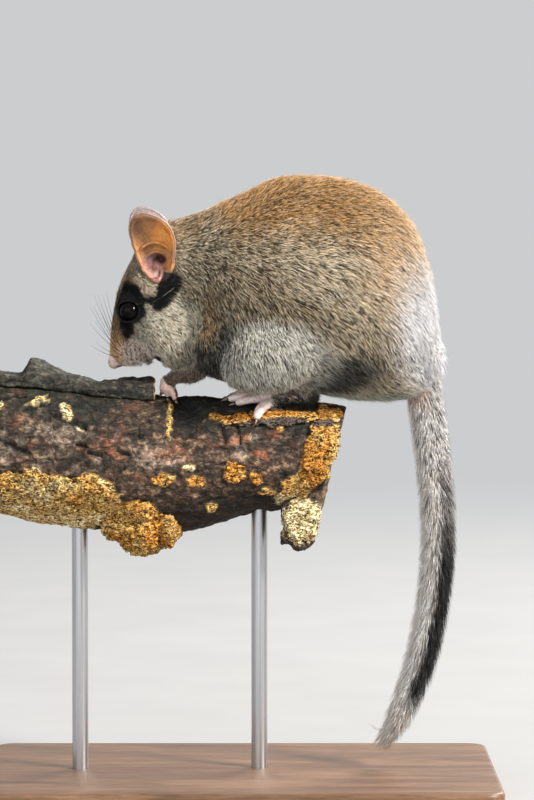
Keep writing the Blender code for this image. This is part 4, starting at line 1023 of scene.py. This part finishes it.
def along_tail(share):
    """Points of the tail's middle line in mm, from its root at 0 to its tip at 1."""
    stops = np.linspace(0, len(TAIL_LINE) - 1, 400)
    line = np.column_stack([np.interp(stops, range(len(TAIL_LINE)), TAIL_LINE[:, k]) for k in (0, 1)])
    padded = np.vstack([np.repeat(line[:1], 20, 0), line, np.repeat(line[-1:], 20, 0)])
    blur = np.hanning(41) / np.hanning(41).sum()
    line = np.column_stack([np.convolve(padded[:, k], blur, "valid") for k in (0, 1)])
    run = np.concatenate([[0], np.cumsum(np.linalg.norm(np.diff(line, axis=0), axis=1))])
    x, z = (np.interp(share, run / run[-1], line[:, k]) for k in (0, 1))
    return np.column_stack([x, np.zeros(len(x)), z])


def strands_piece(name, radius, roundness, strands):
    """A new piece of tapering round strands; each has its stops in mm and its thickness at each stop."""
    line = bpy.data.curves.new(name, "CURVE")
    line.dimensions = "3D"
    line.bevel_depth = radius * MM
    line.bevel_resolution = roundness
    line.use_fill_caps = True
    for stops, thicknesses in strands:
        spline = line.splines.new("POLY")
        spline.points.add(len(stops) - 1)
        for point, stop, thickness in zip(spline.points, stops, thicknesses):
            point.co = (*(stop * MM), 1)
            point.radius = thickness
    tube = linked(name + "_line", line)
    bpy.context.view_layer.update()
    piece = linked(name, bpy.data.meshes.new_from_object(tube))
    bpy.data.objects.remove(tube)
    return piece


shares = np.linspace(0, 1, 60)
taper = 1 + (TAIL_CORE_TIP / TAIL_CORE - 1) * shares ** 1.5
tail_core = strands_piece("tail_core", TAIL_CORE, 3, [(along_tail(shares), taper)])
tinted(tail_core, even(TAIL_BROWN, tail_core.data.vertices))
hand_over(tail_core, skin_finish, "tail_fur", "tail_middle", "tail_brush")


# Coat of the body
# Short dense fur that rises from the skin and lies back along the body. A tuft is a few hairs with a slate
# foot, darkened further as painted shade between the hairs, a coloured band and a pale or nearly black
# tip, and a few longer guard hairs stand over the rest.

# Lie of the coat at places on the body: x, distance from the middle plane, z, and the way the hair points
LIES = (
    (-40, 0, 139, 0.3, 0.1, 1), (-34, 5, 141, 0.4, 0.2, -0.9), (-40, 2, 150, 0.1, 0.1, 1),
    (-38, 4, 162, 0.3, 0.1, 1), (-28, 5, 176, 0.9, 0.1, 0.6), (-34, 8, 148, 0.6, 0.2, -0.3),
    (-30, 9, 164, 0.8, 0.1, -0.7), (-24, 10, 159, 0.8, 0.1, -0.4), (-22, 14, 150, 0.7, 0.1, -0.6),
    (-18, 14, 143, 0.5, 0, -0.8), (-24, 6, 138, 0.7, 0.1, -0.5), (-14, 10, 138, 0.5, 0, -0.8),
    (-10, 17, 165, 0.8, 0.1, -0.6), (-6, 14, 146, 0.4, 0, -0.9), (-12, 6, 182, 1, 0.1, 0.3),
    (5, 8, 191, 1, 0.1, 0.15), (25, 10, 196, 1, 0.1, -0.2), (42, 8, 190, 0.85, 0, -0.5),
    (55, 8, 172, 0.45, 0, -0.9), (60, 6, 150, 0.15, 0, -1), (20, 22, 180, 0.97, 0, -0.2),
    (18, 27, 163, 0.88, 0, -0.45), (42, 24, 162, 0.75, 0, -0.65), (45, 20, 143, 0.6, -0.1, -0.8),
    (10, 24, 148, 0.45, 0, -0.9), (10, 22, 135, 0.3, 0, -0.95), (30, 15, 133, 0.9, 0, -0.4),
    (40, 5, 127, 0.95, 0, -0.2), (0, 5, 131, 0.9, 0, -0.2), (-12, 9, 137, -0.3, 0, -1),
    (-20, 7, 133, -0.9, 0, -0.5),
)
LIE_REACH = 5
LENGTH_BASE, LENGTH_PER_DEPTH = 1, 1.2
WIDTH_BASE, WIDTH_PER_DEPTH = 0.12, 0.03
# Guard hairs: how many, how much longer and deeper than the rest, and how wide
GUARD_SHARE, GUARD_LONGER, GUARD_DEEPER, GUARD_WIDTH = 0.06, 1.5, 1.35, 0.13
# Tufts to a square mm on the body, more on the head and on the muzzle, and on the heels
BODY_TUFTS, HEAD_MORE, MUZZLE_MORE, HEEL_TUFTS = 10, 6, 6, 9
HEEL_FROM = 9
# The bare place at the corner of the lip lies this far before and above it
LIP_BARE_SHIFT = (0.7, 0, -0.7)
# Tufts that would stand past the CAD box are bent over below its top within this height
CEILING_SOFT = 2.5
UV_PATCH = 0.003
# The coat's pieces, each with its start and end in x
REGIONS = (("head", -99, -13), ("shoulders", -13, 12), ("flanks", 12, 36), ("rump", 36, 99))


def unit(vectors):
    return vectors / np.maximum(np.linalg.norm(vectors, axis=1, keepdims=True), 1e-9)


def sow(piece, density, chance):
    """Random roots on a piece, density(points) of them to a square mm: places in mm, and normals."""
    points, normals = arrays_of(piece)
    piece.data.calc_loop_triangles()
    corners = np.empty(len(piece.data.loop_triangles) * 3, np.int32)
    piece.data.loop_triangles.foreach_get("vertices", corners)
    corners = corners.reshape(-1, 3)
    a, b, c = (points[corners[:, k]] for k in range(3))
    areas = np.linalg.norm(np.cross(b - a, c - a), axis=1) / 2
    counts = chance.poisson(areas * density((a + b + c) / 3))
    chosen = np.repeat(np.arange(len(counts)), counts)
    shares = chance.random((len(chosen), 2))
    over = shares.sum(1) > 1
    shares[over] = 1 - shares[over]
    shares = np.column_stack([1 - shares.sum(1), shares])
    roots = sum(shares[:, k:k + 1] * points[corners[chosen, k]] for k in range(3))
    ways = sum(shares[:, k:k + 1] * normals[corners[chosen, k]] for k in range(3))
    return roots, unit(ways)


def clumped(roots, share, chance):
    """Gathers roots round a share of them: the pull of each towards its clump, and the clump's number."""
    heads = chance.choice(len(roots), max(1, int(len(roots) * share)), replace=False)
    near = KDTree(len(heads))
    for number, head in enumerate(heads):
        near.insert(roots[head], number)
    near.balance()
    clump = np.array([near.find(root)[1] for root in roots])
    return roots[heads][clump] - roots, clump


def ticked(colour, dark_share, clump, chance):
    """Colours of each tuft's five points from root to tip, some with a dark tip and some with a pale one."""
    luck = chance.random(clump.max() + 1)[clump]
    bright = (0.82 + 0.36 * chance.random(clump.max() + 1)[clump]) * (0.85 + 0.3 * chance.random(len(clump)))
    dark = (luck < dark_share)[:, None]
    pale = (luck > 0.7)[:, None]
    mean = colour.mean(1, keepdims=True)
    middle = np.where(dark, colour * 0.2, colour * 0.98) * bright[:, None]
    tip = np.where(dark, colour * 0.05, np.where(pale, 0.4 * colour + 0.6 * mean * 2, colour * 1.18))
    tip = np.where(mean < 0.03, colour, tip)
    middle = np.minimum(middle, 0.9)
    # The root is a quarter of the colour: the slate underfur, with painted shade between the hairs
    return np.stack([colour * 0.24, middle, middle, middle, np.minimum(tip * bright[:, None], 0.95)], axis=1)


def tuft_piece(name, slot, tufts, here=slice(None)):
    """One piece of the tufts chosen by here: each a closed three-sided spindle, bent in its middle."""
    roots, normals, lies, lengths, depths, widths, pull, unwrap, tones = (part[here] for part in tufts)
    lengths, depths, widths = lengths[:, None], depths[:, None], widths[:, None]
    across = np.cross(normals, lies)
    count = len(roots)
    points, flat = np.empty((count, 5, 3)), np.empty((count, 5, 2))
    middle = roots + lies * (0.42 * lengths) + normals * (0.7 * depths) + 0.35 * pull
    points[:, 0] = roots - normals * 0.3
    points[:, 4] = roots + lies * (0.93 * lengths) + normals * depths + pull
    for number, (out, up) in enumerate(((1, 0), (-1, 0), (0, 0.7)), 1):
        points[:, number] = middle + (across * out + normals * up) * 0.5 * widths
        flat[:, number] = unwrap + np.array((0.5 * out, 0)) * UV_PATCH
    flat[:, 0] = unwrap - np.array((0, 0.5)) * UV_PATCH
    flat[:, 4] = unwrap + np.array((0, 0.5)) * UV_PATCH
    bend_from = cad_box[1].z / MM - CEILING_SOFT
    heights = points[..., 2]
    bent = bend_from + CEILING_SOFT * (1 - np.exp(-(heights - bend_from) / CEILING_SOFT))
    points[..., 2] = np.where(heights > bend_from, bent, heights)
    faces = np.array(((0, 2, 1), (0, 3, 2), (0, 1, 3), (1, 2, 4), (2, 3, 4), (3, 1, 4)))
    corners = (np.arange(count)[:, None, None] * 5 + faces).reshape(-1, 3).astype(np.int32)
    mesh = bpy.data.meshes.new(name)
    mesh.vertices.add(count * 5)
    mesh.vertices.foreach_set("co", (points * MM).astype(np.float32).ravel())
    mesh.loops.add(corners.size)
    mesh.loops.foreach_set("vertex_index", corners.ravel())
    mesh.polygons.add(len(corners))
    mesh.polygons.foreach_set("loop_start", np.arange(0, corners.size, 3, dtype=np.int32))
    mesh.update(calc_edges=True)
    mesh.uv_layers.new(name="OFBake").data.foreach_set(
        "uv", flat.reshape(-1, 2)[corners.ravel()].astype(np.float32).ravel(),
    )
    return hand_over(tinted(linked(name, mesh), tones.reshape(-1, 3)), fur_finish, slot)


fur_finish = Finish("fur", 0.6, gloss=0.2)
strands = fur_finish.noise(0.3, detail=2)
fur_finish.paint(fur_finish.times(tone_of(fur_finish), fur_finish.ramp(strands, (0.3, 0.85), (0.7, 1.1))))


def fur_density(points):
    """Tufts to a square mm: finest on the face, none on the nose, the lids, the lip and under the ears."""
    on_muzzle = (points[:, 0] < -31) * (points[:, 2] < 145)
    density = BODY_TUFTS + HEAD_MORE * fall(points[:, 0], -30, -12) + MUZZLE_MORE * on_muzzle
    density = density * rise(from_nose(points), NOSE_RADII[0] - 0.1, NOSE_RADII[0] + 0.5)
    for eye in eyes:
        density = density * rise(np.linalg.norm(points - eye, axis=1) - eye_radius, 0.3, 0.5)
    density = density * rise(oval(points, *EAR_HOLLOW), 0.85, 0.95)
    density = density * rise(oval(points + LIP_BARE_SHIFT, *LIP_CORNER), 1.5, 1.7)
    return density * rise(away_from_line(points, MOUTH), 0.35, 0.5)


def heel_density(points):
    return HEEL_TUFTS * rise(points[:, 0], HEEL_FROM - 0.5, HEEL_FROM + 1)


chance = np.random.default_rng(11)
sown = [sow(skin, fur_density, chance)]
sown += [sow(feet["hindfoot_" + side], heel_density, chance) for side in SIDES]
roots, normals = (np.vstack(rows) for rows in zip(*sown))
depth = spread(roots, DEPTHS, DEPTH_REACH)[:, 0]
lies = spread(roots, LIES, LIE_REACH)
lies[:, 1] *= np.sign(roots[:, 1])
lies = unit(lies - normals * (lies * normals).sum(1, keepdims=True))
pull = clumped(roots, 0.2, chance)[0]
few = clumped(roots, 0.8, chance)[1]
swing = 0.2 * grain(roots, 6, 61) + 0.22 * grain(roots, 2, 62) + 0.42 * (chance.random(len(roots)) - 0.5)
lies = unit(lies + np.cross(normals, lies) * swing[:, None])
guard = chance.random(len(roots)) < GUARD_SHARE
lengths = (LENGTH_BASE + LENGTH_PER_DEPTH * depth) * (0.75 + 0.45 * chance.random(len(roots)))
depths = depth * (0.72 + 0.45 * chance.random(len(roots)) + 0.12 * grain(roots, 3, 63))
lengths[guard] *= GUARD_LONGER
depths[guard] *= GUARD_DEEPER
widths = np.where(guard, GUARD_WIDTH, WIDTH_BASE + WIDTH_PER_DEPTH * depth)
tones = ticked(*markings(roots), few, chance)
turn = np.arctan2(np.abs(roots[:, 1]), roots[:, 2] - 155) / math.pi
unwrap = np.column_stack([roots[:, 0], turn])
for region, start, end in REGIONS:
    inside = (roots[:, 0] >= start) & (roots[:, 0] < end)
    unwrap[inside, 0] = (roots[inside, 0] - roots[inside, 0].min()) / np.ptp(roots[inside, 0])
    for side, way in SIDES.items():
        here = np.flatnonzero(inside & ((roots[:, 1] >= 0) == (way > 0)))
        tufts = roots, normals, lies, lengths, depths, widths, 0.12 * pull, unwrap * 0.98 + 0.01, tones
        tuft_piece("coat_%s_%s" % (region, side), "fur_brown", tufts, here)


# Coat of the tail
# Longer hair that lies down along the tail and parts outwards into a flat brush: reddish and pale at the
# root, black along the back of its lower half, and white in front and at the tip.

TAIL_TUFTS = 22
TAIL_TUFT_WIDTH = 0.2
TAIL_PALE, TAIL_RED = (0.92, 0.84, 0.78), (0.54, 0.33, 0.23)
TAIL_WHITE, TAIL_BLACK = (0.93, 0.93, 0.89), (0.016, 0.016, 0.018)
# How far the hair stands out, and its length, at shares of the way down the tail
TAIL_SPREAD = ((0, 0.15, 0.3, 0.75, 0.9, 1), (3.9, 4, 4, 4.6, 4, 2))
TAIL_LENGTHS = ((0, 0.2, 0.7, 0.92, 1), (4, 5.5, 8.5, 10, 8))

chance = np.random.default_rng(12)
roots, normals = sow(tail_core, lambda points: np.full(len(points), TAIL_TUFTS), chance)
steps = np.linspace(0, 1, 300)
share = np.interp(-roots[:, 2], -along_tail(steps)[:, 2], steps)
down = unit(along_tail(share + 0.004) - along_tail(share - 0.004))
luck = chance.random((len(roots), 3))
pull = clumped(roots, 0.06, chance)[0]
few = clumped(roots, 0.45, chance)[1]
lies = unit(down - normals * (down * normals).sum(1, keepdims=True))
lies = unit(lies + np.cross(normals, lies) * (0.3 * (luck[:, 0] - 0.5))[:, None])
side_share = rise(normals[:, 0] + 0.3 * (luck[:, 1] - 0.5) + 0.55 * (share - 0.3), -0.05, 0.4)
dark = side_share * rise(share, 0.2, 0.55) * fall(share, 0.84, 0.93)
colour = layered(
    even(TAIL_PALE, roots), (TAIL_RED, fall(share, 0.1, 0.2) * (1 - side_share)),
    (TAIL_WHITE, rise(share, 0.45, 0.85)), (TAIL_BLACK, 0.97 * dark),
)
dark_share = 0.15 + 0.2 * side_share - 0.2 * rise(share, 0.4, 0.8) * (1 - side_share)
tones = ticked(colour, dark_share * fall(share, 0.84, 0.92), few, chance)
# The tail's roots are lighter, with less painted shade between the hairs
tones[:, 0] *= 2
lengths = np.interp(share, *TAIL_LENGTHS) * (0.7 + 0.4 * luck[:, 2])
depths = np.interp(share, *TAIL_SPREAD) * (0.65 + 0.5 * chance.random(len(roots)))
widths = np.full(len(roots), TAIL_TUFT_WIDTH)
turn = np.arctan2(normals[:, 1], normals[:, 0]) / (2 * math.pi) + 0.5
unwrap = np.column_stack([turn, share]) * 0.98 + 0.01
tufts = roots, normals, lies, lengths, depths, widths, 0.35 * pull, unwrap, tones
tuft_piece("coat_tail", "tail_fur", tufts)


# Whiskers
# Long stiff tapering hairs: black ones that spread from the pads of the snout, a few white ones from the
# cheek that cross the dark stripe, and short pale ones under the lip.

WHISKER_RADIUS = 0.11
WHISKER_STOPS = 12
WHISKER_TINTS = {"dark": (0.008, 0.007, 0.006), "pale": (0.7, 0.66, 0.58)}
# On each side: root x and z, tip as a step in x, outwards and in z, sag, and its tint
WHISKERS = (
    (-38.2, 141.5, -8, 5, 13, 1.5, "dark"), (-38.4, 142.8, -6.5, 6.5, 15.5, 2, "dark"),
    (-37.8, 143.6, -4.5, 8, 15, 1.5, "dark"), (-37, 140.6, -9, 8.5, 9, 2, "dark"),
    (-36.6, 142, -5.5, 11.5, 10.5, 2, "dark"), (-36, 143.2, -1.5, 13, 12, 2, "dark"),
    (-37.2, 139, -8.5, 9, 4, 2, "dark"), (-36.2, 139.6, -4.5, 14, 4.5, 2.5, "dark"),
    (-35, 140.6, 0.5, 16.5, 5.5, 3, "dark"), (-34.4, 142.2, 4.5, 15, 8, 3, "dark"),
    (-35.8, 138.2, -3.5, 12.5, 0.5, 2, "dark"), (-34.2, 138.8, 2.5, 15.5, 1, 3, "dark"),
    (-33.2, 140, 7, 15, 3.5, 3, "pale"), (-33, 138.4, 5, 11.5, -1.5, 2, "pale"),
    (-27.6, 156.4, 9.6, 1.8, 6.2, 1, "pale"), (-28.4, 155.4, 8.4, 3, 5.4, 1.2, "pale"),
    (-35.4, 137.4, -0.5, 2, -2.6, 0.3, "pale"), (-33.8, 137.4, 0.6, 2, -2.8, 0.3, "pale"),
    (-32.2, 138, 1.2, 1.6, -3, 0.3, "pale"), (-29.6, 138.4, 1.4, 1.2, -3.2, 0.3, "pale"),
    (-31, 138.2, 1.6, 1.4, -2.8, 0.3, "pale"),
)


def whisker(x, z, step_x, step_out, step_z, sag, way):
    """The stops of a whisker in mm from inside the skin to its tip, and its thickness at each."""
    start = skin_hit(x, z, way) / MM - Vector((0, way * 0.3, 0))
    shares = [number / (WHISKER_STOPS - 1) for number in range(WHISKER_STOPS)]
    sag = sag * (0.4 if step_z < 0 else 1)
    bows = [-1.4 * sag * share * (1 - share) for share in shares]
    stops = [
        start + Vector((step_x, way * step_out, step_z)) * share + Vector((0, 0, bow))
        for share, bow in zip(shares, bows)
    ]
    full = 1 if abs(step_z) + step_out > 8 else 0.6
    return stops, [full * (1 - 0.85 * share) for share in shares]


for tint, colour in WHISKER_TINTS.items():
    finish = Finish("whisker_" + tint, 0.35, gloss=0.4)
    ends = [[part * bright for part in colour] for bright in (0.8, 1.2)]
    finish.paint(finish.ramp(finish.noise(4), (0.3, ends[0]), (0.7, ends[1])))
    for side, way in SIDES.items():
        strands = [whisker(*row, way) for *row, row_tint in WHISKERS if row_tint == tint]
        hairs = strands_piece("whiskers_%s_%s" % (tint, side), WHISKER_RADIUS, 1, strands)
        hand_over(hairs, finish, "fur_pale")


# Floor, lights and camera
# The model stands on a plain pale floor that fades into a pale room, under soft studio lights with the
# strongest at the upper right. The camera looks at its left side, level with its body.

CAMERA_AIM = (8.4, 0, 125.4)
CAMERA_AWAY, CAMERA_UP_DEG, CAMERA_LENS = 1040, 3, 150
FLOOR_RADIUS = 9000
ROOM = (0.6, 0.61, 0.62)
# The floor fades into the room between these distances, in metres
HAZE_FROM, HAZE_TO = 0.25, 1.5
# Each light's place and size in mm, its power in watts and its colour
LIGHTS = {
    "key": ((1650, -1040, 1360), 520, 108, (1, 0.97, 0.92)),
    "fill": ((-900, -2000, 380), 2600, 28, (0.94, 0.97, 1)),
    "back": ((830, 1120, 1120), 600, 32, (1, 0.98, 0.95)),
}

floor_finish = Finish("pale_floor", 0.9)
floor_finish.paint(floor_finish.ramp(floor_finish.noise(60), (0.3, 0.31), (0.7, 0.33)))
away = floor_finish.add("VectorMath", {0: floor_finish.place()}, operation="LENGTH")["Value"]
limits = {"Value": away, "From Min": HAZE_FROM, "From Max": HAZE_TO}
haze = floor_finish.add("MapRange", limits, interpolation_type="SMOOTHSTEP")[0]
glow = floor_finish.add("Emission", {"Color": ROOM})[0]
fading = floor_finish.add("MixShader", {0: haze, 1: floor_finish.shader.outputs[0], 2: glow})[0]
floor_finish.feed(floor_finish.tree.nodes["Material Output"].inputs["Surface"], fading)
bm = bmesh.new()
bmesh.ops.create_circle(bm, cap_ends=True, segments=96, radius=FLOOR_RADIUS * MM)
floor = piece_from("floor", bm)
floor.data.materials.append(floor_finish.material)

world = bpy.data.worlds.new("pale_room")
world.use_nodes = True
world.node_tree.nodes["Background"].inputs["Color"].default_value = (*ROOM, 1)
bpy.context.scene.world = world
bpy.context.scene.view_settings.view_transform = "Standard"

aim = Vector(CAMERA_AIM) * MM


def aimed(name, data, place):
    """A light or camera at a place, turned to the aim."""
    holder = linked(name, data)
    holder.location = place
    holder.rotation_euler = (holder.location - aim).to_track_quat("Z", "Y").to_euler()
    return holder


for name, (place, size, power, colour) in LIGHTS.items():
    light = bpy.data.lights.new(name, "AREA")
    light.size = size * MM
    light.energy = power
    light.color = colour
    aimed(name, light, Vector(place) * MM)

lens = bpy.data.cameras.new("camera")
lens.lens = CAMERA_LENS
up = math.radians(CAMERA_UP_DEG)
camera_place = aim + Vector((0, -math.cos(up), math.sin(up))) * CAMERA_AWAY * MM
bpy.context.scene.camera = aimed("camera", lens, camera_place)
